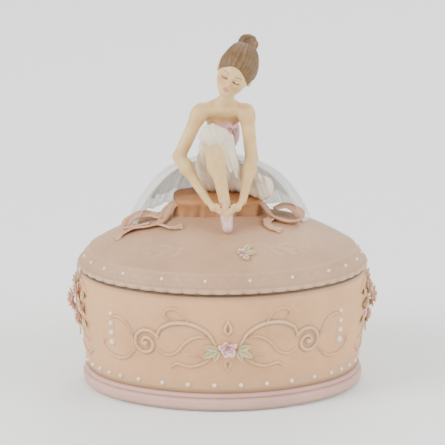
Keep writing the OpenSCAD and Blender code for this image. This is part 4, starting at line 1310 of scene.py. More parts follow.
@dataclass
class Lid:
    """The domed lid with its lace edge, its sprigs, pearls and little rose, and the mirror's beaded rim."""

    casket: Casket
    base: float
    rim_h: float = 4.0
    dome_h: float = 19.0
    edge_fall: float = 2.1
    lip_h: float = 2.5
    lip_w: float = 2.6
    mirror_t: float = 1.4
    scallops: int = 56
    rose_x: float = 6.7
    rose_y: float = -37.0
    pearl_step: float = 15.0
    pearl_inset: float = 3.2
    hinge_gap: float = 20.0
    bead_count: int = 150

    def rise(self, inset: Array) -> Array:
        """How high the dome stands over the lid's underside, by the distance in from the rim."""
        inset = np.clip(inset, 0.001, self.casket.oval.end_radius)
        return self.rim_h + self.dome_h * np.sin(np.pi / 2 * inset / self.casket.oval.end_radius) ** 0.9

    def height(self, x: float, y: float) -> float:
        """The dome's height at a point of the plan."""
        return self.base + float(self.rise(np.array(self.casket.oval.inset_of(x, y))))

    def lace(self, along: Array, inset: Array) -> Array:
        """The lace border near the rim: an arch and a dot for each scallop, and two cords."""
        pitch = self.casket.oval.length / self.scallops
        across = (np.mod(along / pitch, 1) - 0.5) * pitch
        arch = np.clip(1 - (np.abs(np.hypot(across, inset - 1.2) - 2.5) / 0.5) ** 2, 0, 1) * (inset > 1.2)
        dot = np.clip(1 - np.hypot(across, inset - 2.0) ** 2 / 0.8, 0, 1)
        joint = np.clip(1 - np.hypot(np.abs(across) - pitch / 2, inset - 1.9) ** 2 / 0.6, 0, 1)
        cord = np.clip(1 - (np.abs(inset - 5.2) / 0.45) ** 2, 0, 1)
        return 0.38 * np.sqrt(arch) + 0.45 * np.sqrt(np.maximum(dot, joint)) + 0.32 * np.sqrt(cord)

    def sprigs(self) -> Relief:
        """Embossed sprigs on the dome's four quarters, drawn on the plan."""
        relief = Relief()
        for up in (-1, 1):
            relief.stroke([(16, up * 33), (21, up * 31.6), (26, up * 31.8), (30.5, up * 30)], 0.55, 0.5)
            relief.stroke([(19, up * 32), (21.5, up * 35), (25, up * 35.4)], 0.8, 0.55)
            relief.stroke([(23, up * 31.6), (26, up * 28.6), (29.4, up * 28.6)], 0.8, 0.55)
            relief.stroke([(25.5, up * 31.9), (28.5, up * 33.4), (31.5, up * 32.8)], 0.8, 0.55)
            relief.volute((34.5, up * 27.8), 200, 2.6, 1.2, 0.45, 0.45)
        return relief

    def dome(self) -> bpy.types.Mesh:
        """The lid's casting, with its lip and the recess for the mirror."""
        oval, columns = self.casket.oval, 784
        along = np.arange(columns) * oval.length / columns
        turn = oval.turns(along)
        pitch = oval.length / self.scallops
        lobe = np.abs(np.sin(math.pi * along / pitch)) ** 0.7
        wave = 0.6 * (1 - lobe)
        dip = 0.25 * lobe
        stack = Stack(columns)
        # rim rows: painted shade on the rim's underside, a painted highlight on the scallops' lobes
        for inset, z, low, high in (
                (1.2 + wave, 0.0, 1.0, 0.0), (0.5 + wave, 0.2 - dip * 0.5, 1.0, 0.0),
                (0.12 + wave, 0.65 - dip, 0.1, 0.5 * lobe), (wave * 0.9, 1.2 - dip, 0.0, 0.7 * lobe),
                (0.2 + wave * 0.7, 1.75, 0.0, 0.5 * lobe), (0.7 + wave * 0.4, 2.2, 0.2, 0.2 * lobe),
                (1.25 + wave * 0.15, 2.5, 0.35, 0.0)):
            stack.add(self.casket.ring(turn, inset, self.base + z), hollow=low, raised=high)
        sprigs, lace_end = self.sprigs(), 6.5
        for inset in np.concatenate([np.linspace(1.6, 7, 20), np.linspace(7.6, oval.end_radius - 0.5, 62)]):
            here = np.full(columns, inset)
            drawn = self.lace(along, here) if inset < lace_end else sprigs.heights(oval.points(turn, here))
            edge = float(smooth_step(6.0, 1.4, np.array(inset)))
            z = self.base + self.rise(here) + drawn * (0.8 - 0.5 * edge) - self.edge_fall * edge
            # painted shade between the lace near the edge, a painted highlight on the lace and sprigs
            stack.add(self.casket.ring(turn, inset, z), hollow=0.1 * smooth_step(0.2, 0.0, drawn) * edge,
                      raised=drawn * (0.8 - 0.7 * edge))
        top_count = len(stack.rings)
        bed = self.casket.hinge_bed(stack.rings[0], turn)
        for ring in stack.rings[:2]:
            ring[:, 2] += bed
        # the underside carries painted shade
        for inset, z in self.underside():
            ring = self.casket.ring(turn, inset, self.base + z)
            if inset < self.casket.wall_inset:
                ring[:, 2] += self.casket.hinge_bed(ring, turn)
            stack.add(ring, hollow=0.2)
        ridge = np.array([[x, 0.0, self.base + self.rim_h + self.dome_h]
                          for x in np.linspace(-oval.end_shift, oval.end_shift, 3)])
        under_count, start = len(stack.rings) - top_count, top_count * columns
        faces = grid_faces(top_count, columns, True)
        faces += self.crown(top_count - 1, columns, turn, len(stack.rings) * columns)
        faces += [face[::-1] for face in grid_faces(under_count, columns, True, start)]
        faces += bridge(start, 0, columns)
        faces.append(cap((len(stack.rings) - 1) * columns, columns, flip=True))
        return stack.mesh(BoxPart.LID.value, faces, 50, ridge)

    def underside(self) -> list[tuple[float, float]]:
        """The section under the lid, inwards: inset from the rim, and height over the lid's underside."""
        inner, lip = self.casket.wall_inset + 0.4, self.lip_h
        far = inner + self.lip_w
        return [(1.8, 0.0), (inner - 0.2, 0.0), (inner, -0.2), (inner, 0.3 - lip), (inner + 0.3, -lip),
                (far - 0.3, -lip), (far, 0.3 - lip), (far, self.mirror_t + 0.1), (far + 1, self.mirror_t + 0.2),
                (20.0, self.mirror_t + 4), (34.0, self.mirror_t + 9)]

    def crown(self, ring: int, columns: int, turn: Array, apex: int) -> list[list[int]]:
        """Closes the dome's top between its last ring and the ridge of three points."""
        def nearest(i: int) -> int:
            """The ridge point that a ring point joins."""
            facing = math.cos(math.radians(turn[i % columns]))
            return apex + (2 if facing > 0.6 else 0 if facing < -0.6 else 1)

        faces = []
        for i in range(columns):
            a, b = ring * columns + i, ring * columns + (i + 1) % columns
            here, there = nearest(i), nearest(i + 1)
            faces.append([a, b, here])
            if here != there:
                faces.append([b, there, here])
        return faces

    def build(self, roses: RoseMaker, unit: Shape) -> None:
        """Makes every piece of the lid.

        Args:
            roses: who makes its leaves.
            unit: a rose of radius 1.
        """
        make_piece("lid_dome", self.dome(), CAST_LID, "lid", "lid_shell")
        oval = self.casket.oval
        turns = np.array([turn for turn in np.arange(self.pearl_step / 2, 360, self.pearl_step)
                          if abs(turn - 90) > self.hinge_gap])
        z = self.base + float(self.rise(np.array(self.pearl_inset))) - 1.2
        row = beads("lid_pearl_row", self.casket.ring(turns, self.pearl_inset, z), 0.8, PEARL)
        make_piece("lid_pearl_row", row, PEARL, "lid", "lid_pearls")
        inset = oval.inset_of(self.rose_x, self.rose_y)
        slope = math.atan(float(self.rise(np.array(inset + 0.5)) - self.rise(np.array(inset - 0.5))))
        at = (Matrix.Translation((self.rose_x, self.rose_y, self.height(self.rose_x, self.rose_y) + 0.1))
              @ Matrix.Rotation(slope, 4, "X"))
        shape_piece("lid_rose_petals", [placed(unit, at, 2.5, 2.9)], ROSE_PINK, "lid", "lid_rose")
        leaves = [placed(roses.leaf(4.2, 2.7), at @ Matrix.Rotation(math.radians(angle), 4, "Z")
                         @ Matrix.Translation((1.6, 0, 0))) for angle in (-62, -8, 48)]
        shape_piece("lid_leaf_spray", leaves, LEAF_GREEN, "lid", "lid_leaves")
        self.bezel()

    def bezel(self) -> None:
        """The gilt rim that holds the mirror, with a row of beads on it."""
        outer = self.casket.wall_inset + 0.4 + self.lip_w + 0.1
        inner = self.casket.wall_inset + self.lip_w + 3.6
        low, high = self.base - 1.3, self.base - 0.02
        section = [(outer, high), (outer, low + 0.7), (outer + 0.5, low + 0.35), (inner - 0.7, low + 0.35),
                   (inner - 0.2, low + 0.6), (inner, high)]
        frame_mesh = self.casket.swept("mirror_frame", section[::-1], 360)
        make_piece("mirror_frame", frame_mesh, GILT, "lid", "mirror_bezel")
        turn = self.casket.oval.turns(np.arange(self.bead_count) * self.casket.oval.length / self.bead_count)
        centres = self.casket.ring(turn, (outer + inner) / 2 - 0.1, low + 0.45)
        make_piece("mirror_beads", beads("mirror_beads", centres, 0.62, GILT), GILT, "lid")


# ---------- modelling clay ----------


def relaxed(points: Array, faces: Array, times: int, share: float = 0.5) -> Array:
    """Points moved towards the middle of their neighbours.

    Args:
        points: the points.
        faces: four-sided faces.
        times: how many passes.
        share: how far they move in a pass.

    Returns:
        the smoothed points.
    """
    starts, ends = faces.ravel(), np.roll(faces, -1, 1).ravel()
    weight = (np.bincount(starts, minlength=len(points)) + np.bincount(ends, minlength=len(points)))[:, None]
    for _ in range(times):
        total = np.stack([np.bincount(starts, points[ends, k], len(points))
                          + np.bincount(ends, points[starts, k], len(points)) for k in range(3)], -1)
        points = points + share * (total / np.maximum(weight, 1) - points)
    return points


def facing(points: Array, faces: Array) -> Array:
    """The direction that the surface faces at each point."""
    a, b, c, d = (points[faces[:, k]] for k in range(4))
    cross = np.cross(c - a, d - b)
    total = np.stack([sum(np.bincount(faces[:, k], cross[:, axis], len(points)) for k in range(4))
                      for axis in range(3)], -1)
    return total / np.maximum(np.linalg.norm(total, axis=1, keepdims=True), 1e-12)


def folds(points: Array, faces: Array, strength: float) -> dict[str, Array]:
    """Marks for hollows and ridges, from how the surface bends over a millimetre or so.

    Args:
        points: the points.
        faces: four-sided faces.
        strength: the bend, in millimetres, that gives a full mark.

    Returns:
        the marks "hollow" and "raised".
    """
    # the bend gives the painted shade in hollows and the painted highlight on ridges
    bend = ((relaxed(points, faces, 8) - points) * facing(points, faces)).sum(1)
    for _ in range(2):
        bend = relaxed(bend[:, None].repeat(3, 1), faces, 1)[:, 0]
    return {"hollow": smooth_step(0.0, strength, bend), "raised": smooth_step(0.0, strength, -bend)}


class Clay:
    """A block of small cells in which rounded shapes are pressed together, carved and skinned."""

    def __init__(self, low: Sequence[float], high: Sequence[float], cell: float) -> None:
        """Starts with an empty block.

        Args:
            low: its lowest corner, in millimetres.
            high: its highest corner.
            cell: the size of a cell.
        """
        self.low, self.cell = np.array(low, float), cell
        count = np.ceil((np.array(high, float) - self.low) / cell).astype(int) + 1
        self.depth = np.full(count, 4.0, np.float32)

    def near(self, low: Array, high: Array, reach: float) -> tuple[tuple[slice, ...], Array]:
        """The cells round a box, and their places."""
        first = np.maximum(0, np.floor((low - reach - self.low) / self.cell).astype(int))
        last = np.minimum(self.depth.shape, np.ceil((high + reach - self.low) / self.cell).astype(int) + 1)
        axes = [self.low[k] + self.cell * np.arange(first[k], last[k]) for k in range(3)]
        return (tuple(slice(a, b) for a, b in zip(first, last)),
                np.stack(np.meshgrid(*axes, indexing="ij"), -1).astype(np.float32))

    def press(self, where: tuple[slice, ...], away: Array, soft: float, carve: bool = False) -> None:
        """Joins a shape to the clay, or takes it away, with a soft seam."""
        old = self.depth[where]
        if carve:
            old = -old
        seam = np.clip(soft - np.abs(old - away), 0, None) / max(soft, 1e-6)
        new = np.minimum(old, away) - seam * seam * soft / 4
        self.depth[where] = -new if carve else new

    def limb(self, a: Sequence[float], ra: float, b: Sequence[float], rb: float, soft: float = 0.8,
             carve: bool = False) -> None:
        """A tapering limb with round ends.

        Args:
            a: one end.
            ra: its radius there.
            b: the other end.
            rb: its radius there.
            soft: how softly it joins.
            carve: takes it away instead.
        """
        a, b = np.array(a, float), np.array(b, float)
        reach = max(ra, rb) + soft + 3 * self.cell
        where, cells = self.near(np.minimum(a, b), np.maximum(a, b), reach)
        step = b - a
        share = np.clip((cells - a) @ step / (step @ step), 0, 1)
        away = np.linalg.norm(cells - a - share[..., None] * step, axis=-1) - (ra + (rb - ra) * share)
        self.press(where, away, soft, carve)

    def lump(self, centre: Sequence[float], radii: Sequence[float], soft: float = 0.8,
             carve: bool = False) -> None:
        """An egg-shaped lump, or hollow, with a radius along each axis."""
        centre, radii = np.array(centre, float), np.array(radii, float)
        where, cells = self.near(centre - radii, centre + radii, soft + 3 * self.cell)
        offset = (cells - centre) / radii
        near = np.linalg.norm(offset, axis=-1)
        away = near * (near - 1) / np.maximum(np.linalg.norm(offset / radii, axis=-1), 1e-6)
        self.press(where, away, soft, carve)

    def slice_off(self, point: Sequence[float], normal: Sequence[float], soft: float = 0.3) -> None:
        """Takes away everything on the side of a plane that its normal points to."""
        where, cells = self.near(self.low, self.low + self.cell * np.array(self.depth.shape), 0)
        unit = np.array(normal, float) / np.linalg.norm(normal)
        self.press(where, -((cells - np.array(point, float)) @ unit), soft, True)

    def skin(self, smooth: int = 3) -> tuple[Array, Array]:
        """The clay's surface as points in millimetres and four-sided faces."""
        grid = openvdb.FloatGrid(4.0)
        grid.copyFromArray(np.clip(self.depth, -4, 4))
        points, _, faces = grid.convertToPolygons(isovalue=0.0, adaptivity=0.0)
        faces = faces.astype(int)
        points = points.astype(float) * self.cell + self.low
        outward = facing(points, faces)
        middle = points.mean(0)
        if ((points - middle) * outward).sum() < 0:
            faces = faces[:, ::-1]
        return relaxed(points, faces, smooth), faces


# ---------- seat and sashes ----------


@dataclass
class Seat:
    """The draped seat on the dome, and the loose sash ends that lie on it."""

    lid: Lid
    top: float
    centre: tuple[float, float] = (-1.7, 6.5)
    half: tuple[float, float] = (20.2, 13.5)
    squareness: float = 4.0
    columns: int = 260

    def outline(self, angle: Array) -> Array:
        """How far the seat reaches in each direction."""
        a, b = self.half
        n = self.squareness
        return (np.abs(np.cos(angle) / a) ** n + np.abs(np.sin(angle) / b) ** n) ** (-1 / n)

    def drape(self) -> bpy.types.Mesh:
        """The cloth over the seat: flat on top, then falling in folds to the dome."""
        angle = np.linspace(0, 2 * math.pi, self.columns, endpoint=False)
        reach = self.outline(angle)
        way = np.column_stack([np.cos(angle), np.sin(angle)])
        ripple = (np.sin(9 * angle + 0.7) + 0.7 * np.sin(16 * angle + 2.1 + np.sin(3 * angle))
                  + 0.45 * np.sin(27 * angle + 0.4)) / 2.1
        rings, steps = [], 12
        tops = ((0.3, 0.0), (0.55, 0.02), (0.75, 0.08), (0.86, 0.2), (0.93, 0.5), (0.97, 1.0), (0.99, 1.7),
                (1.0, 2.5))
        for share, drop in tops:
            flat = np.array(self.centre) + way * (reach * share)[:, None]
            rings.append(np.column_stack([flat, self.top - drop + 0.2 * share * ripple * (share > 0.7)]))
        for step in range(1, steps + 1):
            t = step / steps
            out = reach + ripple * (0.225 + 1.125 * t) - 0.52 * math.sin(math.pi * t) + 0.7 * t * t
            flat = np.array(self.centre) + way * np.minimum(out, reach + 1.6)[:, None]
            base = np.array([self.lid.height(x, y) for x, y in flat]) - 0.5
            rings.append(np.column_stack([flat, (self.top - tops[-1][1]) * (1 - t) + base * t]))
        faces = [face[::-1] for face in grid_faces(len(rings), self.columns, True)]
        faces += [cap(0, self.columns), cap((len(rings) - 1) * self.columns, self.columns, flip=True)]
        # painted shade down the fall and in the folds' valleys, a painted highlight on the folds' backs
        low = np.repeat([0.0] * len(tops) + [0.15 + 0.6 * k / steps for k in range(steps)], self.columns)
        valley = np.tile(smooth_step(0.1, -0.9, ripple), len(rings))
        return make_mesh("seat_drape", np.concatenate(rings), faces, 70,
                         {"hollow": low * (0.3 + valley), "raised": 0.5 * low * (1 - valley)})

    def ribbon(self, knots: Sequence[Point], width: float, twist: Callable[[float], float]) -> Shape:
        """A ribbon with soft edges along a path, kept clear of the dome.

        Args:
            knots: its path.
            width: its width.
            twist: how far it is turned about its length, in radians, along its share.

        Returns:
            points, faces and marks.
        """
        count = 90
        path = curve_through(knots, count)
        along = np.gradient(path, axis=0)
        along /= np.linalg.norm(along, axis=1, keepdims=True)
        section = [(-1, 0), (-0.9, 0.42), (-0.45, 0.5), (0, 0.42), (0.45, 0.5), (0.9, 0.42), (1, 0),
                   (0.9, -0.42), (0, -0.36), (-0.9, -0.42)]
        points, marks = [], []
        for i, (place, way) in enumerate(zip(path, along)):
            share = i / (count - 1)
            side = np.cross(way, (0, 0, 1.0))
            side /= np.linalg.norm(side)
            up = np.cross(side, way)
            turn = twist(share)
            side, up = (side * math.cos(turn) + up * math.sin(turn),
                        up * math.cos(turn) - side * math.sin(turn))
            half = width / 2 * (1 + 0.1 * math.sin(9 * share * math.pi))
            for across, thick in section:
                crimp = 5 * across + 12 * share
                point = place + side * across * half + up * (thick + 0.125 * math.sin(crimp))
                floor = self.lid.height(point[0], point[1]) + 0.12 + (0.45 if thick > 0 else 0.0)
                point[2] = max(point[2], floor)
                points.append(point)
                # painted shade on one flank of each crimp wave, read as the hollow mark
                marks.append(0.3 + 0.3 * math.cos(crimp))
        n = len(section)
        faces = [face[::-1] for face in grid_faces(count, n, True)]
        faces += [cap(0, n), cap((count - 1) * n, n, flip=True)]
        return np.array(points), faces, np.array(marks)

    def over(self, x: float, y: float, up: float) -> Point:
        """A point that far above the dome."""
        return (x, y, self.lid.height(x, y) + up)

    def build(self) -> None:
        """Makes the seat and both sashes."""
        make_piece("seat_drape", self.drape(), SEAT_DRAPE, "lid", "seat")
        over, top = self.over, self.top
        left = [
            self.ribbon([(-18.5, 0, top - 1.6), (-22, -2, top - 3.2), over(-25, -5, 3), over(-28, -10.5, 1.1),
                         over(-34, -12, 0.9), over(-40, -10, 1.1), over(-45, -9.5, 0.9), over(-48.5, -11, 0.6)],
                        4.6, lambda t: 0.35 * math.sin(7 * t)),
            self.ribbon([over(-27, -8.5, 1.9), over(-32, -5, 3.2), over(-38, -3.5, 4.2), over(-43, -5, 3.4),
                         over(-44, -8.5, 1.7), over(-39, -10, 1.4), over(-33, -10.5, 1.7)],
                        3.8, lambda t: 0.9 * math.sin(3 * t)),
            self.ribbon([over(-29, -12, 1.2), over(-26, -15.5, 1.0), over(-22, -17.5, 0.8),
                         over(-18.5, -17, 0.6)], 3.6, lambda t: 0.3 * math.sin(5 * t)),
        ]
        right = [
            self.ribbon([(14.5, 0, top - 1.6), (18.6, -3, top - 4), over(21.5, -9, 1.6), over(26, -12, 1.0),
                         over(31, -12, 1.1), over(34.5, -9, 2.6), over(33.5, -5.5, 4.4), over(28.5, -3.5, 5.2),
                         over(23, -5, 3.6)], 4.4, lambda t: 0.75 * math.sin(3.2 * t)),
            self.ribbon([over(21.5, -10, 1.4), over(19, -14.5, 0.9), over(20.5, -18.5, 0.8),
                         over(25, -20, 0.6)], 3.6, lambda t: 0.3 * math.sin(5 * t)),
        ]
        shape_piece("sash_tail_left", left, SASH, "lid", "sash_left", mark="hollow")
        shape_piece("sash_tail_right", right, SASH, "lid", "sash_right", mark="hollow")


# ---------- the dancer ----------


@dataclass(frozen=True)
class Net:
    """A layer of tulle as it hangs, and the flat piece that it is cut from."""

    points: Array
    faces: list[list[int]]
    marks: dict[str, Array]
    flat: Array
    width: float
    length: float

    def mesh(self, name: str) -> bpy.types.Mesh:
        """The layer's mesh, which carries its flat coordinates."""
        mesh = make_mesh(name, self.points, self.faces, NO_CREASE, self.marks)
        corners = np.zeros(len(mesh.loops), int)
        mesh.loops.foreach_get("vertex_index", corners)
        mesh.uv_layers.new(name="flat").data.foreach_set("uv", self.flat[corners].ravel())
        return mesh


@dataclass
class Dancer:
    """The seated dancer who ties her slipper. Her points are measured from the seat's top."""

    seat: Seat
    hip_r: Point = (-6, 10, 6.5)
    hip_l: Point = (6, 11, 6)
    waist: Point = (-1, 7, 18)
    shoulder_r: Point = (-9.9, -2.4, 39.6)
    shoulder_l: Point = (10.6, -2.4, 39.2)
    elbow_r: Point = (-19.6, -9.4, 20.4)
    elbow_l: Point = (12.4, -11, 19.6)
    wrist_r: Point = (-7.4, -19.6, 2.6)
    wrist_l: Point = (8, -20, 2.6)
    knee_r: Point = (-5.4, -17, 31.6)
    ankle_r: Point = (0.7, -21.4, -1.6)
    toe_r: Point = (1.1, -24.4, -8.6)
    knee_l: Point = (18, -7, 4.4)
    ankle_l: Point = (13.5, 16, 3.6)
    toe_l: Point = (6, 21.5, 2.4)
    head: Point = (5.4, -9.7, 58.4)
    head_scale: float = 1.08
    bun: Point = (11.2, -2.0, 69.4)
    tilt: float = 27.0
    turn: float = -12.0
    nod: float = 18.0
    neckline: float = 36.2

    @property
    def pose(self) -> Array:
        """The head's turn: nod, then turn, then tilt to her left."""
        return np.array(Matrix.Rotation(math.radians(self.tilt), 3, "Y")
                        @ Matrix.Rotation(math.radians(self.turn), 3, "Z")
                        @ Matrix.Rotation(math.radians(self.nod), 3, "X"))

    def torso(self, clay: Clay, grow: float) -> None:
        """Presses the trunk together, thicker by grow."""
        clay.limb(self.hip_r, 5.7 + grow, self.hip_l, 5.7 + grow, 2)
        clay.limb((0, 10, 8), 6.0 + grow, self.waist, 4.7 + grow, 4)
        clay.limb(self.waist, 4.7 + grow, (-0.2, 4.2, 25), 5.0 + grow, 3)
        clay.lump((0.1, 2.6, 28.5), (7.2 + grow, 4.9 + grow, 8.0 + grow), 3)
        for side in (-1, 1):
            clay.lump((0.2 + 3.1 * side, -2.0, 30.6), (2.9 + grow, 2.6 + grow, 3.0 + grow), 1.8)

    def between(self, a: Point, b: Point, share: float, shift: Point = (0, 0, 0)) -> Point:
        """A point part of the way from a to b, and then shifted."""
        return tuple(p + (q - p) * share + s for p, q, s in zip(a, b, shift))  # type: ignore

    def flesh(self) -> tuple[Array, Array]:
        """Her skin below the head: neck, shoulders, arms, hands and legs."""
        clay = Clay((-26, -30, -14), (26, 28, 60), 0.4)
        self.torso(clay, 0)
        self.shoulders(clay)
        self.arms(clay)
        self.legs(clay)
        return clay.skin(3)

    def shoulders(self, clay: Clay) -> None:
        """Presses the shoulders, the neck and the collar bones."""
        clay.limb(self.shoulder_r, 2.7, self.shoulder_l, 2.7, 3)
        clay.lump((0.4, 1.2, 36), (8.6, 3.4, 4.2), 3)
        clay.limb((0.5, -1.6, 40), 3.5, (3.2, -5.9, 52.5), 3.1, 2.4)
        for side, shoulder in ((-1, self.shoulder_r), (1, self.shoulder_l)):
            slope = self.between(shoulder, (0, 0, 40), 0.12, (0, 0.6, 0.6))
            clay.limb((0.5 + side, -1.2, 43.6), 2.2, slope, 1.8, 2.4)
            collar = self.between(shoulder, (0, 0, 40), 0.1, (0, -1.6, 0.9))
            clay.limb((0.6 + side, -5.0, 39.9), 0.55, collar, 0.55, 1.4)

    def arms(self, clay: Clay) -> None:
        """Presses both arms and hands."""
        for shoulder, elbow, wrist in ((self.shoulder_r, self.elbow_r, self.wrist_r),
                                       (self.shoulder_l, self.elbow_l, self.wrist_l)):
            clay.limb(shoulder, 3.2, elbow, 2.8, 1.6)
            clay.lump(self.between(shoulder, elbow, 0.12), (3.4, 3.3, 3.8), 2)
            clay.limb(elbow, 2.85, wrist, 1.75, 1.2)
            clay.lump(self.between(elbow, wrist, 0.25), (3.1, 3.0, 3.8), 1.8)
        self.hand(clay, self.wrist_r, 1)
        self.hand(clay, self.wrist_l, -1)

    def legs(self, clay: Clay) -> None:
        """Presses the raised right leg and the folded left one."""
        clay.limb(self.hip_r, 5.2, self.knee_r, 3.7, 2.0)
        clay.limb(self.between(self.knee_r, self.ankle_r, 0.06), 4.0, self.ankle_r, 2.2, 1.0)
        clay.lump(self.between(self.knee_r, self.ankle_r, 0.34, (-0.4, 1.6, 0)), (4.4, 3.9, 8.0), 2.2)
        clay.limb(self.ankle_r, 1.9, self.toe_r, 1.5, 1)
        clay.limb(self.hip_l, 5.5, self.knee_l, 4.1, 2.5)
        clay.lump(self.knee_l, (4.2, 3.9, 4.0), 1.5)
        clay.limb(self.knee_l, 3.7, self.ankle_l, 2.1, 1.5)
        clay.lump(self.between(self.knee_l, self.ankle_l, 0.35, (0.4, 0, 0.2)), (3.5, 6.5, 3.4), 2.5)
        clay.limb(self.ankle_l, 2.1, self.toe_l, 1.6, 1)

    def hand(self, clay: Clay, wrist: Point, side: int) -> None:
        """A hand at the slipper's ribbons.

        Args:
            clay: what it is pressed into.
            wrist: where it starts.
            side: 1 for the hand that reaches towards +X.
        """
        palm = (wrist[0] + 2.5 * side, wrist[1] - 2.0, wrist[2] - 2.6)
        clay.limb(wrist, 1.35, palm, 1.5, 0.8)
        clay.lump(palm, (1.9, 1.25, 2.0), 0.6)
        for number in range(4):
            knuckle = (palm[0] + (1.0 + 0.12 * number) * side, palm[1] - 0.9, palm[2] + 1.1 - 0.85 * number)
            middle = (knuckle[0] + 1.0 * side, knuckle[1] - 1.15, knuckle[2] - 0.5)
            tip = (middle[0] + 1.15 * side, middle[1] + 0.15, middle[2] - 0.75)
            clay.limb(palm, 0.8, knuckle, 0.62, 0.4)
            clay.limb(knuckle, 0.62, middle, 0.55, 0.2)
            clay.limb(middle, 0.55, tip, 0.45, 0.15)
        thumb = (palm[0] + 1.5 * side, palm[1] - 1.6, palm[2] + 1.9)
        clay.limb((palm[0], palm[1] - 0.3, palm[2] + 1.0), 0.75, thumb, 0.55, 0.4)
        clay.limb(thumb, 0.55, (palm[0] + 2.7 * side, palm[1] - 2.1, palm[2] + 1.2), 0.45, 0.15)

    def face(self) -> tuple[Array, Array, dict[str, Array]]:
        """Her head, upright and facing -Y round the origin, with marks for its paint."""
        eye_x, mouth_z = 2.65, -5.45
        clay = Clay((-9.5, -11, -12.5), (9.5, 11, 11), 0.17)
        clay.lump((0, 1.2, 1.2), (7.1, 8.1, 7.9), 1)
        clay.lump((0, -2.5, -3.4), (5.5, 5.2, 6.6), 3)
        clay.lump((0, -5.0, -8.3), (2.0, 1.8, 1.5), 2)
        clay.limb((0, 0.5, -6.5), 3.4, (0, 2.5, -10.5), 3.0, 2)
        for side in (-1, 1):
            clay.lump((3.3 * side, -4.7, -2.7), (1.9, 1.7, 2.0), 1.8)
            clay.limb((0.9 * side, -6.5, 1.0), 0.7, (3.9 * side, -5.5, 0.9), 0.6, 1.3)
            clay.lump((eye_x * side, -7.7, -0.7), (1.6, 1.3, 1.0), 0.9, carve=True)
            clay.lump((eye_x * side, -6.0, -0.75), (1.4, 1.15, 0.9), 0.25)
            clay.lump((7.0 * side, 0.4, -1.4), (0.8, 1.5, 2.1), 0.4)
            clay.lump((0.72 * side, -8.0, -3.2), (0.5, 0.6, 0.45), 0.3)
        clay.limb((0, -7.0, 0.3), 0.5, (0, -8.5, -2.7), 0.72, 1.0)
        clay.lump((0, -8.6, -2.95), (0.75, 0.75, 0.62), 0.4)
        clay.lump((0, -7.35, -5.1), (1.5, 0.8, 0.42), 0.35)
        clay.lump((0, -7.2, -5.85), (1.25, 0.85, 0.5), 0.35)
        clay.limb((-1.3, -8.3, mouth_z), 0.12, (1.3, -8.3, mouth_z), 0.12, 0.3, carve=True)
        points, faces = clay.skin(2)
        x, y, z = np.abs(points[:, 0]), points[:, 1], points[:, 2]
        front = smooth_step(-4.0, -5.0, y)
        eye = x - eye_x
        lash = (smooth_step(0.4, 0.14, np.abs(z + 1.3 - 0.2 * (eye / 1.3) ** 2))
                * smooth_step(1.75, 1.25, np.abs(eye)))
        brow = (smooth_step(0.34, 0.08, np.abs(z - 1.55 + 0.3 * ((x - 2.7) / 1.6) ** 2))
                * smooth_step(1.0, 1.5, x) * smooth_step(4.4, 3.8, x) * 0.7)
        lips = (smooth_step(1.12, 0.85, np.hypot(x / 1.5, (z - mouth_z) / 0.85))
                * smooth_step(-6.6, -7.0, y) * 0.8)
        cheek = np.exp(-((x - 3.6) ** 2 + (z + 3.0) ** 2) / 3.0) * front
        lid = 0.35 * np.exp(-(eye ** 2 / 1.6 + (z + 0.5) ** 2 / 0.5)) * front
        marks = {"line": np.maximum(lash, brow) * front, "lips": lips, "blush": np.clip(cheek + lid, 0, 1)}
        return points, faces, marks

    def hair(self) -> tuple[Array, Array, Array]:
        """Combed-back hair with a bun, in the head's own frame, with a strand mark."""
        clay = Clay((-12, -12, -12), (15, 17, 19), 0.24)
        clay.lump((0, 1.8, 1.6), (8.0, 8.8, 8.7), 1)
        bun = self.pose.T @ (np.array(self.bun) - np.array(self.head)) / self.head_scale
        clay.lump((bun * 0.62).tolist(), (5.6, 5.2, 5.2), 3)
        clay.lump((0, -8.6, -2.4), (6.0, 6.2, 7.4), 1.0, carve=True)
        clay.lump((0, -5.6, -8.4), (7.2, 7.4, 5.4), 0.8, carve=True)
        clay.slice_off((0, 4, -6.4), (0, -0.35, -1), 0.8)
        for side in (-1, 1):
            clay.lump((8.4 * side, 0.2, -2.0), (1.7, 1.9, 2.3), 0.5, carve=True)
        clay.lump(bun.tolist(), (4.2, 4.1, 3.9), 0.35)
        points, faces = clay.skin(2)
        out = facing(points, faces)
        axis = bun / np.linalg.norm(bun)
        side_way = np.cross(axis, (1.0, 0, 0))
        side_way /= np.linalg.norm(side_way)
        other = np.cross(axis, side_way)
        around = np.arctan2(points @ other, points @ side_way)
        in_bun = smooth_step(4.9, 4.5, np.linalg.norm(points - bun, axis=1))
        local = points - bun
        swirl = np.arctan2(local @ other, local @ side_way)
        height = np.linalg.norm(np.cross(local, axis), axis=1)
        cap = np.sin(around * 34 + 2.2 * np.sin(around * 5)) + 0.6 * np.sin(around * 71 + 1.0)
        coil = np.sin(swirl * 2 + height * 3.0) * 1.2 + 0.6 * np.sin(swirl * 9 + height * 9.0)
        wave = (cap * (1 - in_bun) + coil * in_bun) / 1.7
        near = smooth_step(1.0, 3.5, np.linalg.norm(np.cross(points, axis), axis=1)) * (1 - in_bun) + in_bun
        points = points + out * (wave * near * (0.13 + 0.1 * in_bun))[:, None]
        return points, faces, np.clip(0.5 + 0.5 * wave, 0, 1)

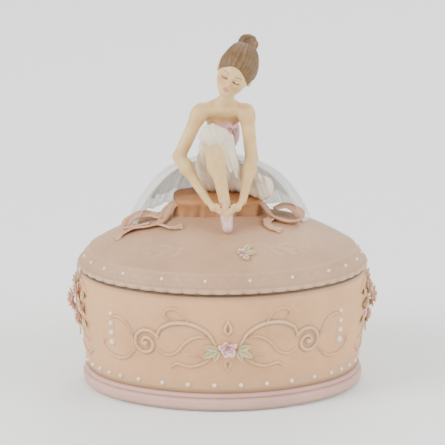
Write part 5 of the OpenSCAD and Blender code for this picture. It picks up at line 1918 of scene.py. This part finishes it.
    def bodice(self) -> tuple[Array, Array]:
        """The strapless bodice with its seams and a small bow."""
        clay = Clay((-16, -14, 8), (16, 20, 46), 0.32)
        self.torso(clay, 0.6)
        clay.slice_off((0, -3, self.neckline), (0, -0.14, 1), 0.4)
        clay.slice_off((0, 0, 13), (0, 0, -1), 0.4)
        knot = np.array((4.4, -5.9, 32.4))
        for side in (-1, 1):
            clay.lump(knot + (1.5 * side, 0.3, 0.45), (1.45, 0.75, 0.95), 0.2)
            clay.limb(knot + (0.3 * side, 0.1, -0.4), 0.45, knot + (1.2 * side, 0.7, -3.4), 0.4, 0.2)
        clay.lump(knot, (0.75, 0.8, 0.75), 0.15)
        points, faces = clay.skin(2)
        x, y, z = points.T
        panel = np.cos(np.arctan2(x, 3.0 - y) * 10)
        level = self.neckline + 0.14 * (y + 3)
        band = smooth_step(1.4, 0.9, np.abs(level - 1.2 - z))
        return points + facing(points, faces) * (0.1 * panel + 0.18 * band)[:, None], faces

    def drape(self) -> tuple[Array, Array]:
        """The skirt's cloth: round her hips, over her raised knee, and the folds that fall from it."""
        clay = Clay((-22, -28, -2), (22, 26, 46), 0.36)
        clay.limb(self.hip_r, 6.5, self.hip_l, 6.5, 2)
        clay.limb((0, 10, 8), 6.8, self.waist, 5.4, 3)
        clay.limb(self.hip_r, 6.4, self.knee_r, 4.8, 2.0)
        clay.lump(self.between(self.knee_r, self.hip_r, 0.02, (0.0, -0.5, 0.1)), (5.4, 5.3, 4.9), 1.5)
        clay.limb(self.hip_l, 6.2, np.array(self.knee_l) + (0, 0, 0.9), 4.9, 2)
        clay.limb(self.knee_l, 4.0, (19.4, 1.0, 3.8), 3.6, 2)
        for start, r_start, end, r_end in (
                ((-2.6, -17.6, 32.6), 3.0, (2.8, -17.0, 15.5), 0.9),
                ((0.2, -15.5, 31.6), 2.6, (4.9, -15.2, 12.5), 0.9),
                ((1.8, -12.5, 29.5), 2.4, (7.0, -13.4, 10.5), 0.9),
                ((2.6, -8.5, 26.0), 2.4, (8.2, -10.0, 8.5), 1.0),
                ((0.0, -18.0, 31.0), 2.2, (3.9, -16.8, 17.0), 0.7)):
            clay.limb(start, r_start, end, r_end, 1.1)
        points, faces = clay.skin(3)
        out = facing(points, faces)
        x, y, z = points.T
        ripple = (np.sin(1.5 * x + 0.42 * z + 0.9 * np.sin(0.4 * y)) + 0.6 * np.sin(2.6 * x + 0.9 * z + 1.0))
        return points + out * (0.2 * ripple)[:, None], faces

    def slippers(self) -> tuple[Array, Array]:
        """Both slippers with their crossed ribbons."""
        clay = Clay((-4, -28, -12), (20, 27, 10), 0.26)
        ankle, toe = self.ankle_r, self.toe_r
        clay.limb(np.array(ankle) + (0, 0.2, -1.6), 2.9, np.array(toe) + (0, -0.2, 0.3), 2.3, 0.8)
        clay.lump(np.array(ankle) + (0, 1.5, -2.0), (2.2, 1.8, 2.2), 1.0)
        clay.limb((0.9, -20.6, -5.2), 1.0, (1.1, -23.4, -9.2), 1.0, 0.4)
        clay.lump((0.9, -25.2, -3.3), (1.9, 1.5, 2.1), 0.4, carve=True)
        clay.limb((self.ankle_l[0], self.ankle_l[1] + 0.3, self.ankle_l[2]), 2.5, self.toe_l, 2.0, 0.8)
        shin = np.array(self.knee_r) - np.array(ankle)
        shin /= np.linalg.norm(shin)
        self.wraps(clay, np.array(ankle), shin, ((1.6, 26), (1.6, -26), (4.8, 24), (4.8, -24)), 2.15)
        calf = np.array(self.knee_l) - np.array(self.ankle_l)
        calf /= np.linalg.norm(calf)
        self.wraps(clay, np.array(self.ankle_l), calf, ((1.6, 26), (1.6, -26), (4.6, 24)), 2.4)
        return clay.skin(2)

    def wraps(self, clay: Clay, ankle: Array, leg: Array, bands: Sequence[tuple[float, float]],
              radius: float) -> None:
        """Ribbon bands round a leg.

        Args:
            clay: what they are pressed into.
            ankle: where the leg starts.
            leg: the way up the leg.
            bands: each band's height and its tilt in degrees.
            radius: the leg's radius.
        """
        across = np.cross(leg, (0.3, 1.0, 0.1))
        across /= np.linalg.norm(across)
        ahead = np.cross(leg, across)
        for height, slant in bands:
            ring = []
            for step in range(19):
                angle = 2 * math.pi * step / 18
                lean = math.sin(angle) * math.tan(math.radians(slant)) * radius
                grown = radius + 0.045 * height
                ring.append(ankle + leg * (height + lean)
                            + (across * math.sin(angle) + ahead * math.cos(angle)) * grown)
            for a, b in zip(ring[:-1], ring[1:]):
                clay.limb(a, 0.36, b, 0.36, 0.12)

    def tulle(self, layer: int) -> Net:
        """One layer of the net skirt.

        Args:
            layer: 0 is the upper one.

        Returns:
            the layer.
        """
        columns, rows = 300, 26
        turn = np.radians(np.linspace(-24 + 3 * layer, 204 - 3 * layer, columns))
        wave = (0.75 * np.sin(9 * turn + 0.3 + layer) + 0.5 * np.sin(23 * turn + 1.1 + 2 * layer)
                + 0.3 * np.sin(41 * turn + 3 * layer))
        waist_r, reach_x, reach_y = 7.4, 33, 24
        points = []
        for j in range(rows):
            s = j / (rows - 1) * (1 - 0.1 * layer)
            gather = 0.12 * np.sin(60 * turn) * (1 - s)
            out = 1 + 0.012 * wave * s
            x = -1 + (waist_r + reach_x * s) * np.cos(turn) * out
            y = 6 + (waist_r + reach_y * s) * np.sin(turn) * out
            z = (16.4 - (6 * s + (22.5 - 2 * layer) * s ** 3) + (0.15 + 1.0 * s) * wave * 0.9
                 - 1.1 * layer * (0.3 + s) + gather)
            points.append(np.column_stack([x, y, z + self.seat.top]))
        points = np.concatenate(points)
        floor = np.array([self.seat.lid.height(x, y) for x, y, _ in points]) + 0.5
        points[:, 2] = np.maximum(points[:, 2], floor)
        grid = points.reshape(rows, columns, 3)
        length = float(np.linalg.norm(np.diff(grid, axis=0), axis=-1).sum(0).mean())
        a, b, c = grid[:-1, :-1], grid[1:, :-1], grid[:-1, 1:]
        area = float(np.linalg.norm(np.cross(b - a, c - a), axis=-1).sum())
        width = area / length
        hem = np.tile(np.arange(rows)[:, None] / (rows - 1), (1, columns)).ravel()
        across, down = np.meshgrid(np.linspace(0, width, columns), np.arange(rows) / (rows - 1) * length)
        flat = np.stack([across.ravel(), down.ravel()], -1)
        pleat = 0.5 + 0.5 * np.sin(60 * turn + 2.0 * layer + 1.5 * np.sin(7 * turn))
        marks = {"raised": smooth_step(0.975, 0.99, hem), "hollow": np.tile(pleat, rows) * (1 - 0.5 * hem)}
        return Net(points, grid_faces(rows, columns), marks, flat, width, length)

    def on_neck(self, points: Array) -> Array:
        """Points of the upright head, turned, scaled and moved to where her head is."""
        return points * self.head_scale @ self.pose.T + np.array(self.head) + (0, 0, self.seat.top)

    def modelled(self, name: str, skin: tuple[Array, Array], depth: float, finish: Finish,
                 *nodes: str) -> None:
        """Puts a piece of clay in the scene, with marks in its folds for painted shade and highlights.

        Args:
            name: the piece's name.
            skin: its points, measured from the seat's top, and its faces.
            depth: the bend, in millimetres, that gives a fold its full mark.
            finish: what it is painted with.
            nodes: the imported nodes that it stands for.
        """
        points, faces = skin
        raised = points + (0, 0, self.seat.top)
        mesh = make_mesh(name, raised, faces, CLAY_CREASE, folds(points, faces, depth))
        make_piece(name, mesh, finish, "lid", *nodes)

    def build(self) -> None:
        """Makes every piece of the dancer."""
        self.modelled("dancer_skin", self.flesh(), 0.12, SKIN, "ballerina_body")
        points, faces, marks = self.face()
        # half-strength painted shade in the face's hollows
        marks.update({key: mark * 0.5 for key, mark in folds(points, faces, 0.08).items()})
        head = make_mesh("dancer_head", self.on_neck(points), faces, CLAY_CREASE, marks)
        make_piece("dancer_head", head, SKIN, "lid")
        points, faces, strand = self.hair()
        hair = make_mesh("dancer_hair", self.on_neck(points), faces, CLAY_CREASE, {"strand": strand})
        make_piece("dancer_hair", hair, HAIR, "lid", "ballerina_hair")
        self.modelled("dancer_bodice", self.bodice(), 0.12, BODICE, "ballerina_bodice")
        self.modelled("dancer_drape", self.drape(), 0.18, DRESS)
        self.modelled("dancer_slippers", self.slippers(), 0.1, SLIPPER, "ballerina_slippers")
        for layer, name in enumerate(("tulle_upper", "tulle_lower")):
            net = self.tulle(layer)
            cloth = make_piece(name, net.mesh(name), TULLE, "lid", *(["tulle_skirt"] if layer == 0 else []))
            net.width * MM
            net.length * MM


# ---------- carried-over parts, studio and the whole ----------


CARRIED: dict[Finish, tuple[str, ...]] = {
    BOARD: ("bottom_cover",),
    STEEL: ("cover_screws", "hinge_pin", "hinge_screws_box", "hinge_screws_lid", "bedplate",
            "movement_screws", "spring_drum", "winding_arbor", "winding_key", "cylinder_bracket",
            "end_bracket", "cylinder_shaft", "comb_base", "comb_screws", "governor_frame", "stop_rod",
            "stop_arm"),
    SPRING_STEEL: ("mainspring", "comb", "stop_spring"),
    BRASS: ("crown_wheel", "pinned_cylinder", "cylinder_pinion", "cylinder_wheel", "governor_wheel",
            "air_brake"),
    GILT: ("hinge_leaf_box", "hinge_leaf_lid"),
    NYLON: ("rod_guide",),
    MIRROR: ("lid_mirror",),
}


@dataclass
class Studio:
    """A pale floor that curves up behind, soft lamps and the camera."""

    reach: float = 1.15
    rise: float = 14.6
    swing: float = -2.6
    lens: float = 207.0
    aim: Point = (0.0, 0.0, 0.0725)

    def backdrop(self) -> None:
        """The floor and the wall behind it, in one sweep all round."""
        rings = [(0.02, 0.0), (0.3, 0.0), (0.7, 0.0), (1.1, 0.0), (1.5, 0.01), (1.85, 0.06), (2.15, 0.18),
                 (2.35, 0.4), (2.45, 0.7), (2.5, 1.2), (2.5, 2.4)]
        sides, gap = 96, 0.0002
        angle = np.linspace(0, 2 * math.pi, sides, endpoint=False)
        way = np.column_stack([np.cos(angle), np.sin(angle)])
        points = np.concatenate([np.column_stack([r * way, np.full(sides, z - gap)]) for r, z in rings]) / MM
        faces = [face[::-1] for face in grid_faces(len(rings), sides, True) + [cap(0, sides)]]
        floor = bpy.data.objects.new("floor", make_mesh("floor", points, faces, CLAY_CREASE))
        bpy.context.scene.collection.objects.link(floor)
        floor.data.materials.append(FLOOR.build())

    def lamp(self, name: str, place: Point, size: float, watts: float,
             tint: Colour = (1.0, 1.0, 1.0)) -> None:
        """A square soft lamp that faces the box.

        Args:
            name: its name.
            place: where it hangs, in metres.
            size: its side, in metres.
            watts: its power.
            tint: its colour.
        """
        data = bpy.data.lights.new(name, "AREA")
        data.shape, data.size, data.energy, data.color = "SQUARE", size, watts, tint
        lamp = bpy.data.objects.new(name, data)
        lamp.location = place
        lamp.rotation_euler = (Vector(self.aim) - Vector(place)).to_track_quat("-Z", "Y").to_euler()
        bpy.context.scene.collection.objects.link(lamp)

    def build(self) -> None:
        """Makes the floor, the lamps, the pale surround and the camera."""
        self.backdrop()
        self.lamp("key_lamp", (-1.25, -0.6, 1.0), 0.8, 27.0, (1.0, 0.985, 0.96))
        self.lamp("fill_lamp", (1.3, -0.55, 0.8), 0.9, 17.0, (0.98, 0.99, 1.0))
        self.lamp("back_lamp", (0.3, 1.2, 1.2), 1.0, 12.0)
        world = bpy.data.worlds.new("surround")
        bpy.context.scene.world = world
        world.use_nodes = True
        glow = world.node_tree.nodes["Background"]
        glow.inputs["Color"].default_value = (0.94, 0.97, 0.96, 1.0)
        glow.inputs["Strength"].default_value = 1.1
        data = bpy.data.cameras.new("camera")
        data.lens, data.sensor_width, data.clip_end = self.lens, 36.0, 20.0
        camera = bpy.data.objects.new("camera", data)
        swing, rise = math.radians(self.swing), math.radians(self.rise)
        away = Vector((math.sin(swing) * math.cos(rise), -math.cos(swing) * math.cos(rise), math.sin(rise)))
        camera.location = Vector(self.aim) + away * self.reach
        camera.rotation_euler = (-away).to_track_quat("-Z", "Y").to_euler()
        bpy.context.scene.collection.objects.link(camera)
        bpy.context.scene.camera = camera


def dress_carried_parts() -> None:
    """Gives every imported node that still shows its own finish."""
    for finish, names in CARRIED.items():
        for name in names:
            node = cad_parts[name]
            node.data.materials.clear()
            node.data.materials.append(finish.build())


def main() -> None:
    """Builds the studio and then the box, the lid and the dancer."""
    logging.basicConfig(level=logging.INFO, format="%(name)s: %(message)s")
    Studio().build()
    dress_carried_parts()
    _, plinth_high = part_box("plinth")
    _, wall_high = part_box("body_shell")
    pad_low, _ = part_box("velvet_pad")
    _, felt_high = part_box("felt_ring")
    oval = Oval(plinth_high.x / MM + 2.1, plinth_high.y / MM + 2.1)
    casket = Casket(oval, plinth_top=plinth_high.z / MM, parting=wall_high.z / MM, floor_top=pad_low.z / MM,
                    floor_bottom=pad_low.z / MM - 2.5, felt_top=felt_high.z / MM)
    roses = RoseMaker()
    unit = roses.unit_rose()
    casket.build(roses)
    lid_low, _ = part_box("lid_mirror")
    lid = Lid(casket, base=lid_low.z / MM)
    lid.build(roses, unit)
    _, seat_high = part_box("seat")
    seat = Seat(lid, top=seat_high.z / MM)
    seat.build()
    Dancer(seat).build()
    bpy.context.view_layer.update()


if __name__ == "__main__":
    main()
